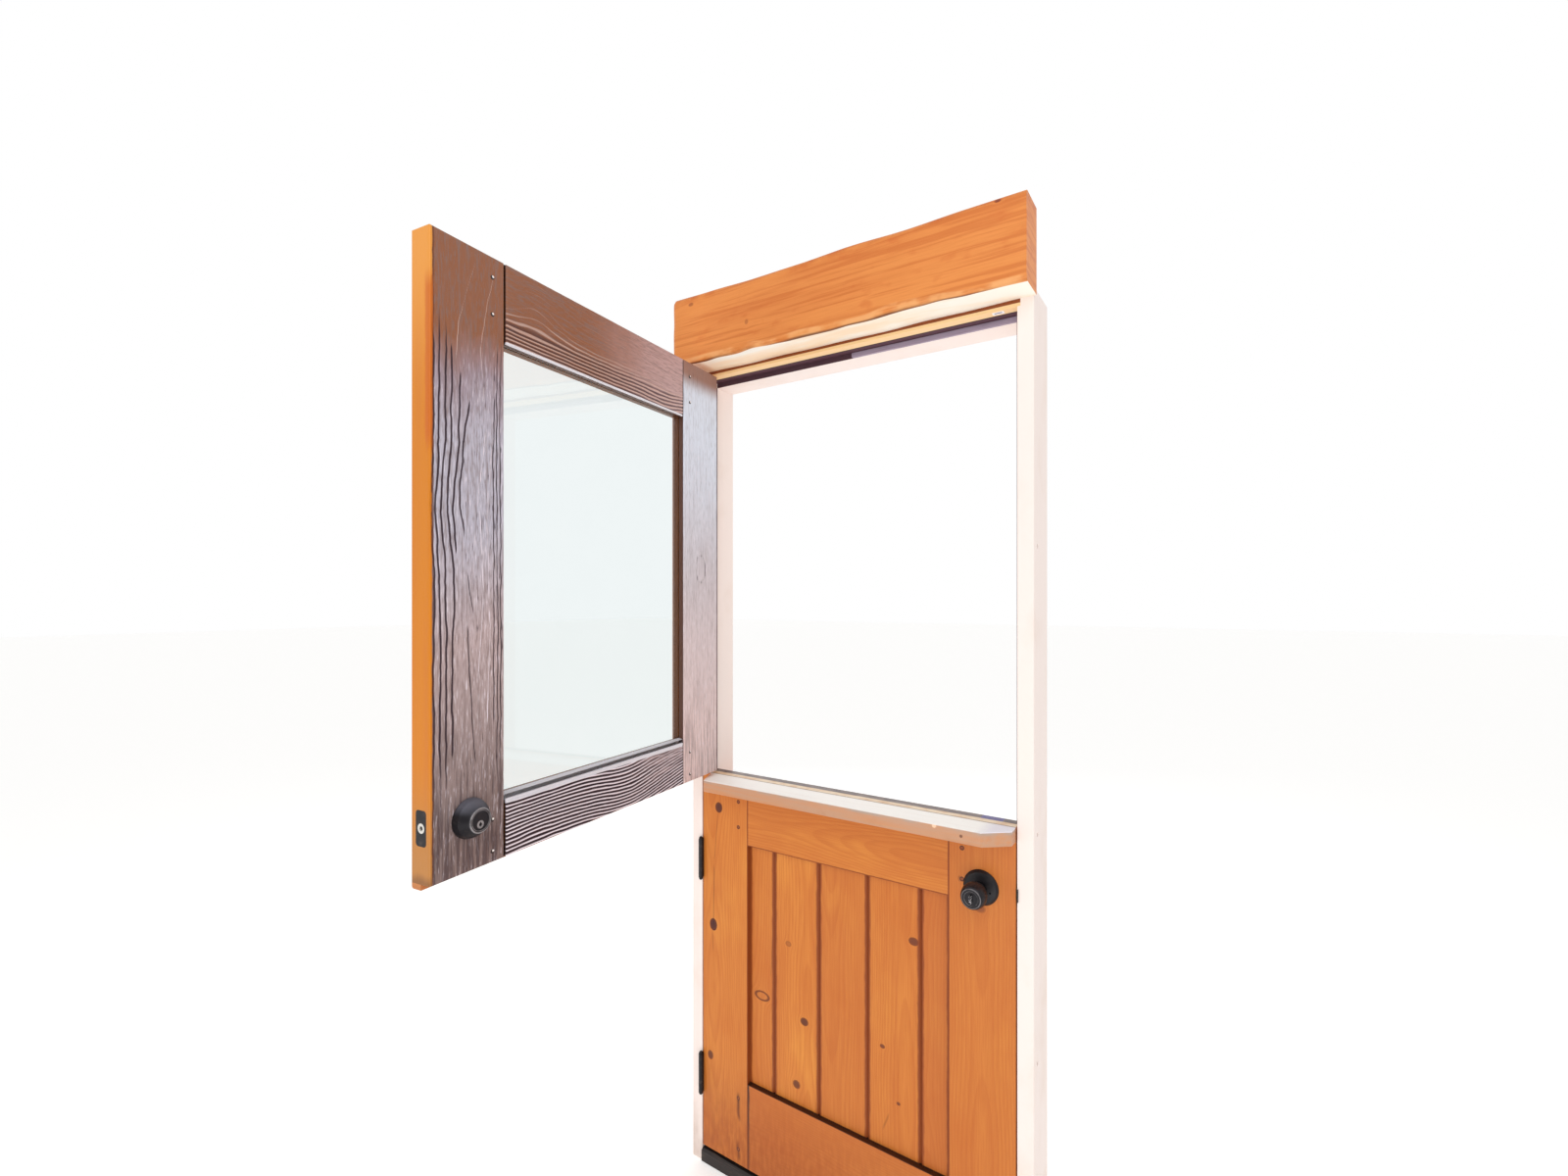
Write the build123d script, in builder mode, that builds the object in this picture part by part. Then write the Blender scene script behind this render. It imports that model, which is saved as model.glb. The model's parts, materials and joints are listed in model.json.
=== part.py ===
"""A stable door: two leaves, one above the other, hung in a timber frame.

Seen from inside the room, X runs to the right, Y towards the outside and Z up.
The origin is at the middle of the doorway, on the inner face of the closed
leaves, at the underside of the threshold. The upper leaf stands open.
"""

import os
from collections import namedtuple

from build123d import *

os.makedirs("parts", exist_ok=True)

# Leaves: overall sizes
leaf_width = 813.0
leaf_thickness = 44.5
lower_leaf_bottom = 43.0
lower_leaf_height = 993.0
meeting_gap = 10.0
upper_leaf_height = 1029.0
upper_leaf_angle = 84.0
side_gap = 3.0
head_gap = 4.0

# Leaves: framing
hinge_stile_width = 146.0
lock_stile_width = 139.0
lower_top_rail_width = 170.0
lower_bottom_rail_width = 215.0
upper_top_rail_width = 138.5
upper_bottom_rail_width = 106.0
arris = 1.0
tenon_thickness = 15.0
tenon_length = 60.0
tenon_shoulder = 14.0
tenon_low_shoulder = 10.0
lower_peg_radius = 5.0
upper_peg_radius = 3.5
lower_peg_inset = 29.0
upper_peg_inset = 24.0
upper_peg_low = 18.0
upper_peg_high = 72.0
upper_peg_top_low = 98.0
upper_peg_top_high = 35.0
lower_peg_low = 38.0
lower_peg_high = 169.0
lower_peg_top_low = 128.0
lower_peg_top_high = 63.0

# Boarded panel of the lower leaf
plank_thickness = 22.0
plank_share = 0.2436
first_plank_share = 0.143
plank_count = 5
housing_depth = 12.0
tongue_thickness = 7.0
tongue_length = 7.0
tongue_end_gap = 1.0
plank_chamfer = 3.5

# Shelf along the top of the lower leaf
shelf_thickness = 29.0
shelf_reach = 70.0
shelf_front_inset = 60.0
shelf_back_inset = 27.0
shelf_clip_length = 50.0
shelf_clip_depth = 40.0
shelf_tongue_thickness = 11.0
shelf_tongue_length = 10.0
shelf_tongue_end = 45.0
shelf_arris = 1.5

# Glazing of the upper leaf
glass_thickness = 6.0
glass_setback = 16.0
glass_edge_gap = 2.0
rebate_width = 12.0
bead_setback = 2.0
bead_chamfer = 5.0
sill_bevel_rise = 4.0
drip_bevel_rise = 3.0

# Sealing strips of the leaves
meeting_strip_width = 22.0
meeting_strip_ease = 4.0
seal_running_gap = 0.6
sweep_width = 30.0
sweep_ease = 3.0

# Frame
jamb_thickness = 32.0
jamb_depth = 116.0
stop_thickness = 12.7
stop_face = 48.0
head_housing = 6.0
seal_thickness = 3.2
seal_nose = 1.2
head_seal_length = 383.0
head_seal_end = 3.0
threshold_front = 4.0
threshold_height = 32.0
threshold_nose = 130.0
threshold_edge = 7.0
threshold_shoulder = 5.0
threshold_back_step = 60.0
fixing_radius = 4.5
fixing_setback = 30.0
fixing_heights = (120.0, 560.0, 1020.0, 1600.0)
lintel_thickness = 80.0
lintel_underside = 11.0
lintel_height = 178.0
lintel_overhang = 40.0
lintel_wane = 5.0
lintel_chamfer = 6.0

# Butt hinges
hinge_height = 101.6
hinge_pin_setback = 8.0
barrel_radius = 6.0
knuckle_count = 5
knuckle_gap = 0.4
pin_radius = 3.0
pin_clearance = 0.05
pin_tip_radius = 5.0
pin_tip_height = 6.5
plate_thickness = 2.5
plate_reach = 38.0
lower_hinge_inset = 194.0
upper_hinge_inset = 229.0
hinge_screw_rise = 36.0
hinge_screw_near = 14.0
hinge_screw_far = 27.0

# Screws
screw_head_radius = 4.2
screw_head_height = 2.2
screw_shank_radius = 2.2
screw_length = 24.0
screw_clearance = 0.05

# Locks: shared
backset = 70.0
cross_bore_radius = 27.0
edge_bore_radius = 12.2
case_radius = 12.0
faceplate_width = 25.4
faceplate_height = 57.0
faceplate_thickness = 2.4
faceplate_corner = 6.0
faceplate_screw_rise = 20.5
turning_clearance = 0.08
sliding_clearance = 0.2
strike_width = 28.0
strike_thickness = 2.0
strike_corner = 5.0

# Knob latch of the lower leaf
latch_drop = 136.0
latch_bolt_width = 12.4
latch_bolt_height = 15.4
latch_throw = 11.0
latch_tail_gap = 3.0
latch_case_reach = 30.0
latch_strike_height = 57.0
latch_hole_margin = 1.5
rose_radius = 36.5
rose_height = 9.0
rose_lip = 2.0
rose_hole_radius = 2.2
rose_hole_offset = 21.0
rose_hole_drop = 5.0
rose_hole_depth = 3.0
knob_shank_radius = 10.0
knob_shank_depth = 20.0
knob_neck_radius = 13.0
knob_neck_height = 18.0
knob_radius = 25.5
knob_belly = 47.0
knob_face_radius = 19.0
knob_rim = 3.0
knob_rim_width = 4.5
knob_dish = 1.5
knob_height = 66.0
button_radius = 8.5
button_recess = 12.0
button_bottom_gap = 0.3
button_grip_height = 6.0
button_grip_thickness = 4.5

# Deadbolt of the upper leaf
deadbolt_rise = 88.0
bolt_radius = 8.0
bolt_throw = 25.4
bolt_tail_reach = 24.0
bolt_core_radius = 4.0
bolt_core_depth = 1.5
deadbolt_case_reach = 29.0
deadbolt_strike_height = 70.0
strike_hole_margin = 1.0
collar_radius = 33.0
collar_height = 28.0
collar_lip = 3.0
collar_shoulder_radius = 30.5
collar_shoulder_height = 11.0
collar_face_radius = 20.5
collar_ring = 2.2
collar_groove = 1.2
collar_groove_depth = 2.0
collar_step = 0.5
collar_inner_ring = 1.4
collar_recess = 1.5
plug_radius = 7.2
plug_drop = 6.5
plug_depth = 20.0
key_slot_width = 2.0
key_slot_height = 7.5
key_slot_depth = 4.0
turn_plate_radius = 32.0
turn_plate_height = 9.0
turn_shaft_radius = 6.0
turn_shaft_depth = 18.0
turn_neck_height = 15.0
turn_grip_length = 32.0
turn_grip_thickness = 9.0
turn_grip_height = 13.0

# Places that follow from the sizes above
lower_leaf_top = lower_leaf_bottom + lower_leaf_height
upper_leaf_bottom = lower_leaf_top + meeting_gap
upper_leaf_top = upper_leaf_bottom + upper_leaf_height
hinge_edge = -leaf_width / 2
lock_edge = leaf_width / 2
hinge_stile_edge = hinge_edge + hinge_stile_width
lock_stile_edge = lock_edge - lock_stile_width
panel_width = lock_stile_edge - hinge_stile_edge
jamb_face = leaf_width / 2 + side_gap
jamb_back = jamb_face + jamb_thickness
head_underside = upper_leaf_top + head_gap
head_top = head_underside + jamb_thickness
mid_leaf = leaf_thickness / 2
pin_x = hinge_edge - side_gap / 2
pin_y = -hinge_pin_setback
hinge_line = Axis((pin_x, pin_y, 0), (0, 0, 1))
lower_hinges = (lower_leaf_bottom + lower_hinge_inset, lower_leaf_top - upper_hinge_inset)
upper_hinges = (upper_leaf_bottom + upper_hinge_inset, upper_leaf_top - lower_hinge_inset)
lock_x = lock_edge - backset
latch_height = lower_leaf_top - latch_drop
deadbolt_height = upper_leaf_bottom + deadbolt_rise
plug_height = deadbolt_height - plug_drop
plank_inner = mid_leaf - plank_thickness / 2
plank_outer = mid_leaf + plank_thickness / 2
glass_outer = leaf_thickness - glass_setback
glass_inner = glass_outer - glass_thickness

INWARDS, OUTWARDS = (0, -1, 0), (0, 1, 0)
TO_HINGES, TO_LOCK = (-1, 0, 0), (1, 0, 0)
LOW_CORNER = (Align.MIN, Align.MIN, Align.MIN)

Leaf = namedtuple("Leaf", "bottom top bottom_rail top_rail peg_inset peg_radius peg_heights")
lower_leaf = Leaf(
    lower_leaf_bottom,
    lower_leaf_top,
    lower_leaf_bottom + lower_bottom_rail_width,
    lower_leaf_top - lower_top_rail_width,
    lower_peg_inset,
    lower_peg_radius,
    (
        lower_leaf_bottom + lower_peg_low,
        lower_leaf_bottom + lower_peg_high,
        lower_leaf_top - lower_peg_top_low,
        lower_leaf_top - lower_peg_top_high,
    ),
)
upper_leaf = Leaf(
    upper_leaf_bottom,
    upper_leaf_top,
    upper_leaf_bottom + upper_bottom_rail_width,
    upper_leaf_top - upper_top_rail_width,
    upper_peg_inset,
    upper_peg_radius,
    (
        upper_leaf_bottom + upper_peg_low,
        upper_leaf_bottom + upper_peg_high,
        upper_leaf_top - upper_peg_top_low,
        upper_leaf_top - upper_peg_top_high,
    ),
)


def block(x0, x1, y0, y1, z0, z1, mode=Mode.ADD):
    """A square-cut length between two corners."""
    with Locations((x0, y0, z0)):
        Box(x1 - x0, y1 - y0, z1 - z0, align=LOW_CORNER, mode=mode)


def rod(start, direction, radius, length, mode=Mode.ADD):
    """A round bar or bore from its start along a direction."""
    with Locations(Plane(origin=start, z_dir=direction).location):
        Cylinder(radius, length, align=(Align.CENTER, Align.CENTER, Align.MIN), mode=mode)


def turned(outline, start, direction, mode=Mode.ADD):
    """An outline of (radius, height) corners turned about a line."""
    seat = Plane(origin=start, z_dir=direction)
    with BuildSketch(Plane(origin=start, x_dir=seat.x_dir, z_dir=-seat.y_dir)) as profile:
        with BuildLine():
            Polyline(*outline, close=True)
        make_face()
    revolve(profile.sketch, axis=Axis(start, direction), mode=mode)


def rounded_plate(x0, x1, y_middle, z_middle, width, height, corner, mode=Mode.ADD):
    """A flat plate across X with rounded corners."""
    with BuildSketch(Plane.YZ.offset(x0)) as outline:
        with Locations((y_middle, z_middle)):
            RectangleRounded(width, height, corner)
    extrude(outline.sketch, amount=x1 - x0, mode=mode)


def screw(start, direction, mode=Mode.ADD, clearance=0.0):
    """A countersunk screw whose head is flush at its start, or the hole for one."""
    shank = screw_shank_radius + clearance
    outline = (
        (0, 0),
        (screw_head_radius + clearance, 0),
        (shank, screw_head_height),
        (shank, screw_length + clearance),
        (0, screw_length + clearance),
    )
    turned(outline, start, direction, mode)


def screw_holes(places, direction):
    """Cut the hole of every screw at the given places."""
    for place in places:
        screw(place, direction, Mode.SUBTRACT, screw_clearance)


def keep(piece, name, opened=0.0):
    """Label a finished piece, swing it open with its leaf, and write it."""
    if opened:
        piece.part = piece.part.rotate(hinge_line, -opened)
    piece.part.label = name
    export_step(piece.part, f"parts/{name}.step")


def plate_screws(middle_height, face):
    """Where the three screws of one hinge plate start."""
    return [
        (face, hinge_screw_near, middle_height - hinge_screw_rise),
        (face, hinge_screw_far, middle_height),
        (face, hinge_screw_near, middle_height + hinge_screw_rise),
    ]


def faceplate_screws(height):
    """Where the two screws of a lock's faceplate or strike start."""
    return [
        (lock_edge, mid_leaf, height - faceplate_screw_rise),
        (lock_edge, mid_leaf, height + faceplate_screw_rise),
    ]


def strike_screws(height, strike_height):
    """Where the two screws of a strike plate start."""
    rise = strike_height / 2 - screw_head_radius * 1.8
    return [(jamb_face, mid_leaf, height - rise), (jamb_face, mid_leaf, height + rise)]


def tenon(x0, x1, z0, z1, mode=Mode.ADD):
    """A rail's tenon, or the mortise that it fills."""
    half = tenon_thickness / 2
    block(x0, x1, mid_leaf - half, mid_leaf + half, z0, z1, mode)


def tenon_heights(leaf):
    """The lower and upper end of the tenon of each rail of a leaf."""
    return [
        (leaf.bottom + tenon_low_shoulder, leaf.bottom_rail - tenon_shoulder - rebate_width / 2),
        (leaf.top_rail + tenon_shoulder + rebate_width / 2, leaf.top - tenon_shoulder),
    ]


def peg_places(leaf):
    """The middle of each draw peg on the inner face of a leaf."""
    hinge_side = hinge_stile_edge - leaf.peg_inset
    lock_side = lock_stile_edge + leaf.peg_inset
    return [(x, 0, z) for x in (hinge_side, lock_side) for z in leaf.peg_heights]


def peg_holes(leaf):
    """Bore the draw pegs' holes through a leaf's joints."""
    for place in peg_places(leaf):
        rod(place, OUTWARDS, leaf.peg_radius, leaf_thickness, Mode.SUBTRACT)


def stile_blank(leaf, at_hinges):
    """A stile with its rail mortises, before the panel or glass is let in."""
    if at_hinges:
        block(hinge_edge, hinge_stile_edge, 0, leaf_thickness, leaf.bottom, leaf.top)
    else:
        block(lock_stile_edge, lock_edge, 0, leaf_thickness, leaf.bottom, leaf.top)
    for low, high in tenon_heights(leaf):
        if at_hinges:
            tenon(hinge_stile_edge - tenon_length, hinge_stile_edge, low, high, Mode.SUBTRACT)
        else:
            tenon(lock_stile_edge, lock_stile_edge + tenon_length, low, high, Mode.SUBTRACT)


def rail_blank(leaf, at_top):
    """A rail with a tenon at each end."""
    low, high = tenon_heights(leaf)[1 if at_top else 0]
    z0, z1 = (leaf.top_rail, leaf.top) if at_top else (leaf.bottom, leaf.bottom_rail)
    block(hinge_stile_edge, lock_stile_edge, 0, leaf_thickness, z0, z1)
    tenon(hinge_stile_edge - tenon_length, hinge_stile_edge, low, high)
    tenon(lock_stile_edge, lock_stile_edge + tenon_length, low, high)


def hinge_recesses(heights):
    """Let the hinge plates and their screws into a leaf's hinge edge."""
    for middle in heights:
        z0, z1 = middle - hinge_height / 2, middle + hinge_height / 2
        block(hinge_edge, hinge_edge + plate_thickness, 0, plate_reach, z0, z1, Mode.SUBTRACT)
        screw_holes(plate_screws(middle, hinge_edge), TO_LOCK)


def cross_bore(height):
    """Bore a leaf from face to face for a lock's body."""
    rod((lock_x, 0, height), OUTWARDS, cross_bore_radius, leaf_thickness, Mode.SUBTRACT)


def lock_bores(height):
    """Bore a lock stile for a lock's body, its case and its faceplate."""
    cross_bore(height)
    rod((lock_edge, mid_leaf, height), TO_HINGES, edge_bore_radius, backset, Mode.SUBTRACT)
    rounded_plate(
        lock_edge - faceplate_thickness,
        lock_edge,
        mid_leaf,
        height,
        faceplate_width,
        faceplate_height,
        faceplate_corner,
        Mode.SUBTRACT,
    )
    screw_holes(faceplate_screws(height), TO_HINGES)


def panel_housing():
    """Groove the lower leaf's framing all round for its boards."""
    block(
        hinge_stile_edge - housing_depth,
        lock_stile_edge + housing_depth,
        plank_inner,
        plank_outer,
        lower_leaf.bottom_rail - housing_depth,
        lower_leaf.top_rail + housing_depth,
        Mode.SUBTRACT,
    )


def glazing_rebate():
    """Rebate the upper leaf's framing from inside for the glass and its beads."""
    block(
        hinge_stile_edge - rebate_width,
        lock_stile_edge + rebate_width,
        0,
        glass_outer,
        upper_leaf.bottom_rail - rebate_width,
        upper_leaf.top_rail + rebate_width,
        Mode.SUBTRACT,
    )


def shelf_tongue(mode=Mode.ADD):
    """The shelf's tongue along the leaf's face, or the groove for it."""
    middle = lower_leaf_top - shelf_thickness / 2
    block(
        hinge_edge + shelf_tongue_end,
        lock_edge - shelf_tongue_end,
        0,
        shelf_tongue_length,
        middle - shelf_tongue_thickness / 2,
        middle + shelf_tongue_thickness / 2,
        mode,
    )


# Lower leaf: stiles and rails
with BuildPart() as lower_hinge_stile:
    stile_blank(lower_leaf, at_hinges=True)
    panel_housing()
    shelf_tongue(Mode.SUBTRACT)
    peg_holes(lower_leaf)
    hinge_recesses(lower_hinges)
keep(lower_hinge_stile, "lower_hinge_stile")

with BuildPart() as lower_lock_stile:
    stile_blank(lower_leaf, at_hinges=False)
    panel_housing()
    shelf_tongue(Mode.SUBTRACT)
    peg_holes(lower_leaf)
    lock_bores(latch_height)
keep(lower_lock_stile, "lower_lock_stile")

with BuildPart() as lower_top_rail:
    rail_blank(lower_leaf, at_top=True)
    panel_housing()
    shelf_tongue(Mode.SUBTRACT)
    peg_holes(lower_leaf)
    cross_bore(latch_height)
keep(lower_top_rail, "lower_top_rail")

with BuildPart() as lower_bottom_rail:
    rail_blank(lower_leaf, at_top=False)
    panel_housing()
    peg_holes(lower_leaf)
keep(lower_bottom_rail, "lower_bottom_rail")


# Lower leaf: tongued and grooved boards with a V joint on both faces
def board_joint(x, mode):
    """The tongue of the board before x, or the groove of the board after it."""
    half = tongue_thickness / 2
    length = tongue_length if mode == Mode.ADD else tongue_length + tongue_end_gap
    z0 = lower_leaf.bottom_rail - housing_depth
    z1 = lower_leaf.top_rail + housing_depth
    block(x, x + length, mid_leaf - half, mid_leaf + half, z0, z1, mode)


board_edges = [hinge_stile_edge - housing_depth]
for number in range(plank_count - 1):
    board_edges.append(hinge_stile_edge + panel_width * (first_plank_share + number * plank_share))
board_edges.append(lock_stile_edge + housing_depth)

for number in range(plank_count):
    left, right = board_edges[number], board_edges[number + 1]
    bevelled_edges = [x for x in (left, right) if hinge_stile_edge < x < lock_stile_edge]
    with BuildPart() as plank:
        with BuildSketch(Plane.XY.offset(lower_leaf.bottom_rail - housing_depth)) as section:
            with Locations(((left + right) / 2, mid_leaf)):
                Rectangle(right - left, plank_thickness)
            corners = [v for v in section.vertices() if any(abs(v.X - x) < arris for x in bevelled_edges)]
            chamfer(corners, plank_chamfer)
        extrude(amount=lower_leaf.top_rail - lower_leaf.bottom_rail + 2 * housing_depth)
        if right in bevelled_edges:
            board_joint(right, Mode.ADD)
        if left in bevelled_edges:
            board_joint(left, Mode.SUBTRACT)
    keep(plank, f"plank_{number + 1}")


# Lower leaf: shelf, with a clipped corner at the lock and a slanted end at the hinges
with BuildPart() as shelf:
    with BuildSketch(Plane.XY.offset(lower_leaf_top - shelf_thickness)):
        with BuildLine():
            Polyline(
                (hinge_edge + shelf_back_inset, 0),
                (hinge_edge + shelf_front_inset, -shelf_reach),
                (lock_edge - shelf_clip_length, -shelf_reach),
                (lock_edge, -shelf_reach + shelf_clip_depth),
                (lock_edge, 0),
                close=True,
            )
        make_face()
    extrude(amount=shelf_thickness)
    front_edges = shelf.edges().filter_by(Axis.X).group_by(Axis.Y)[0]
    chamfer(front_edges, shelf_arris)
    shelf_tongue()
keep(shelf, "shelf")


# Draw pegs of both leaves
def pegs(leaf):
    """One set of separate pegs through a leaf's joints."""
    for place in peg_places(leaf):
        rod(place, OUTWARDS, leaf.peg_radius, leaf_thickness)


with BuildPart() as lower_pegs:
    pegs(lower_leaf)
keep(lower_pegs, "lower_pegs")

with BuildPart() as upper_pegs:
    pegs(upper_leaf)
keep(upper_pegs, "upper_pegs", upper_leaf_angle)

# Lower leaf: sweep under the bottom edge
with BuildPart() as door_sweep:
    block(
        hinge_edge + arris,
        lock_edge - arris,
        mid_leaf - sweep_width / 2,
        mid_leaf + sweep_width / 2,
        threshold_height + seal_running_gap,
        lower_leaf_bottom,
    )
    lower_corners = door_sweep.edges().filter_by(Axis.X).group_by(Axis.Z)[0]
    chamfer(lower_corners, sweep_ease)
keep(door_sweep, "door_sweep")

# Upper leaf: stiles and rails
with BuildPart() as upper_hinge_stile:
    stile_blank(upper_leaf, at_hinges=True)
    glazing_rebate()
    peg_holes(upper_leaf)
    hinge_recesses(upper_hinges)
keep(upper_hinge_stile, "upper_hinge_stile", upper_leaf_angle)

with BuildPart() as upper_lock_stile:
    stile_blank(upper_leaf, at_hinges=False)
    glazing_rebate()
    peg_holes(upper_leaf)
    lock_bores(deadbolt_height)
keep(upper_lock_stile, "upper_lock_stile", upper_leaf_angle)

with BuildPart() as upper_top_rail:
    rail_blank(upper_leaf, at_top=True)
    glazing_rebate()
    peg_holes(upper_leaf)
    outer_arris = upper_top_rail.edges().sort_by_distance((0, leaf_thickness, upper_leaf.top_rail))[0]
    chamfer(outer_arris, drip_bevel_rise)
keep(upper_top_rail, "upper_top_rail", upper_leaf_angle)

with BuildPart() as upper_bottom_rail:
    rail_blank(upper_leaf, at_top=False)
    with BuildSketch(Plane.YZ.offset(hinge_stile_edge)) as sill:
        with BuildLine():
            Polyline(
                (glass_outer, upper_leaf.bottom_rail),
                (leaf_thickness, upper_leaf.bottom_rail),
                (glass_outer, upper_leaf.bottom_rail + sill_bevel_rise),
                close=True,
            )
        make_face()
    extrude(sill.sketch, amount=lock_stile_edge - hinge_stile_edge)
    glazing_rebate()
    peg_holes(upper_leaf)
    cross_bore(deadbolt_height)
keep(upper_bottom_rail, "upper_bottom_rail", upper_leaf_angle)

# Upper leaf: glass and its mitred beads
sight_left, sight_right = hinge_stile_edge, lock_stile_edge
sight_low, sight_high = upper_leaf.bottom_rail, upper_leaf.top_rail

with BuildPart() as glass_pane:
    block(
        sight_left - rebate_width + glass_edge_gap,
        sight_right + rebate_width - glass_edge_gap,
        glass_inner,
        glass_outer,
        sight_low - rebate_width + glass_edge_gap,
        sight_high + rebate_width - glass_edge_gap,
    )
keep(glass_pane, "glass_pane", upper_leaf_angle)

inner_corners = [
    (sight_left, sight_low),
    (sight_right, sight_low),
    (sight_right, sight_high),
    (sight_left, sight_high),
]
outer_corners = [
    (sight_left - rebate_width, sight_low - rebate_width),
    (sight_right + rebate_width, sight_low - rebate_width),
    (sight_right + rebate_width, sight_high + rebate_width),
    (sight_left - rebate_width, sight_high + rebate_width),
]
for side, bead_name in enumerate(("bottom", "lock", "top", "hinge")):
    following = (side + 1) % len(inner_corners)
    inner_middle = (
        (inner_corners[side][0] + inner_corners[following][0]) / 2,
        bead_setback,
        (inner_corners[side][1] + inner_corners[following][1]) / 2,
    )
    with BuildPart() as bead:
        with BuildSketch(Plane.XZ.offset(-bead_setback)):
            with BuildLine():
                Polyline(
                    outer_corners[side],
                    outer_corners[following],
                    inner_corners[following],
                    inner_corners[side],
                    close=True,
                )
            make_face()
        extrude(amount=bead_setback - glass_inner)
        chamfer(bead.edges().sort_by_distance(inner_middle)[0], bead_chamfer)
    keep(bead, f"glass_bead_{bead_name}", upper_leaf_angle)

# Upper leaf: wooden strip that closes the inner half of the gap between the leaves
with BuildPart() as meeting_seal:
    block(
        hinge_edge,
        lock_edge,
        0,
        meeting_strip_width,
        lower_leaf_top + seal_running_gap,
        upper_leaf_bottom,
    )
    lower_inner_edge = meeting_seal.edges().filter_by(Axis.X).sort_by_distance((0, 0, 0))[0]
    fillet(lower_inner_edge, meeting_strip_ease)
keep(meeting_seal, "meeting_seal", upper_leaf_angle)


# Frame: jambs, stops and head
def head_blank(mode=Mode.ADD):
    """The head with its ends, which are housed in the jambs."""
    reach = jamb_face + head_housing
    block(-reach, reach, 0, jamb_depth, head_underside, head_top, mode)


def fixing_holes(x):
    """Bore a jamb for the screws that fix it to the wall."""
    for height in fixing_heights:
        rod((x, fixing_setback, height), TO_LOCK, fixing_radius, jamb_thickness, Mode.SUBTRACT)


with BuildPart() as hinge_jamb:
    block(-jamb_back, -jamb_face, 0, jamb_depth, 0, head_top)
    head_blank(Mode.SUBTRACT)
    fixing_holes(-jamb_back)
    for middle in lower_hinges + upper_hinges:
        z0, z1 = middle - hinge_height / 2, middle + hinge_height / 2
        block(-jamb_face - plate_thickness, -jamb_face, 0, plate_reach, z0, z1, Mode.SUBTRACT)
        screw_holes(plate_screws(middle, -jamb_face), TO_HINGES)
keep(hinge_jamb, "hinge_jamb")

with BuildPart() as lock_jamb:
    block(jamb_face, jamb_back, 0, jamb_depth, 0, head_top)
    head_blank(Mode.SUBTRACT)
    fixing_holes(jamb_face)
    for height, plate_height, hole_radius, depth in (
        (latch_height, latch_strike_height, edge_bore_radius, latch_throw + latch_hole_margin),
        (deadbolt_height, deadbolt_strike_height, bolt_radius + strike_hole_margin, bolt_throw),
    ):
        rounded_plate(
            jamb_face,
            jamb_face + strike_thickness,
            mid_leaf,
            height,
            strike_width,
            plate_height,
            strike_corner,
            Mode.SUBTRACT,
        )
        rod((jamb_face, mid_leaf, height), TO_LOCK, hole_radius, depth, Mode.SUBTRACT)
        screw_holes(strike_screws(height, plate_height), TO_LOCK)
    lip_half = latch_bolt_height / 2 + strike_corner
    block(
        jamb_face,
        jamb_face + strike_thickness,
        0,
        mid_leaf,
        latch_height - lip_half,
        latch_height + lip_half,
        Mode.SUBTRACT,
    )
keep(lock_jamb, "lock_jamb")

with BuildPart() as head_jamb:
    head_blank()
keep(head_jamb, "head_jamb")

stop_underside = head_underside - stop_thickness
with BuildPart() as hinge_stop:
    block(-jamb_face, -jamb_face + stop_thickness, stop_face, jamb_depth, 0, head_underside)
keep(hinge_stop, "hinge_stop")

with BuildPart() as lock_stop:
    block(jamb_face - stop_thickness, jamb_face, stop_face, jamb_depth, 0, head_underside)
keep(lock_stop, "lock_stop")

stop_reach = jamb_face - stop_thickness
with BuildPart() as head_stop:
    block(-stop_reach, stop_reach, stop_face, jamb_depth, stop_underside, head_underside)
keep(head_stop, "head_stop")


# Frame: seals on the faces of the stops
def seal_strip(x0, x1, z0, z1):
    """A strip on a stop's face, on the side of the leaves."""
    block(x0, x1, stop_face - seal_thickness, stop_face, z0, z1)


def ease_nose(strip, long_axis):
    """Ease the two long corners of a strip that face the leaf."""
    chamfer(strip.edges().filter_by(long_axis).group_by(Axis.Y)[0], seal_nose)


with BuildPart() as side_seals:
    for low_x in (-jamb_face, jamb_face - stop_thickness):
        seal_strip(low_x, low_x + stop_thickness, threshold_height, stop_underside)
    ease_nose(side_seals, Axis.Z)
keep(side_seals, "side_seals")

with BuildPart() as head_seal:
    seal_strip(stop_reach - head_seal_length, stop_reach, stop_underside, head_underside)
    ease_nose(head_seal, Axis.X)
    free_end = head_seal.faces().sort_by(Axis.X)[0].edges().filter_by(Axis.Y).sort_by(Axis.Z)[0]
    chamfer(free_end, head_seal_end)
keep(head_seal, "head_seal")

# Frame: threshold under the lower leaf
with BuildPart() as threshold:
    with BuildSketch(Plane.YZ.offset(-jamb_face)) as saddle:
        with BuildLine():
            Polyline(
                (-threshold_front, 0),
                (-threshold_front, threshold_height - threshold_shoulder),
                (threshold_shoulder - threshold_front, threshold_height),
                (threshold_back_step, threshold_height),
                (threshold_nose, threshold_edge),
                (threshold_nose, 0),
                close=True,
            )
        make_face()
    extrude(saddle.sketch, amount=2 * jamb_face)
    for low_x in (-jamb_face, jamb_face - stop_thickness):
        block(
            low_x,
            low_x + stop_thickness,
            stop_face,
            jamb_depth,
            0,
            threshold_height,
            Mode.SUBTRACT,
        )
keep(threshold, "threshold")

# Lintel: a heavy board with hewn, waney edges, proud of the leaves
lintel_low = head_underside + lintel_underside
lintel_high = lintel_low + lintel_height
lintel_end = leaf_width / 2 + lintel_overhang
lower_wane = (0.0, 0.5, 0.9, 0.25, 0.55, 0.1, 0.4)
upper_wane = (0.3, 0.1, 0.6, 0.9, 0.45, 0.7, 0.2)


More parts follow.
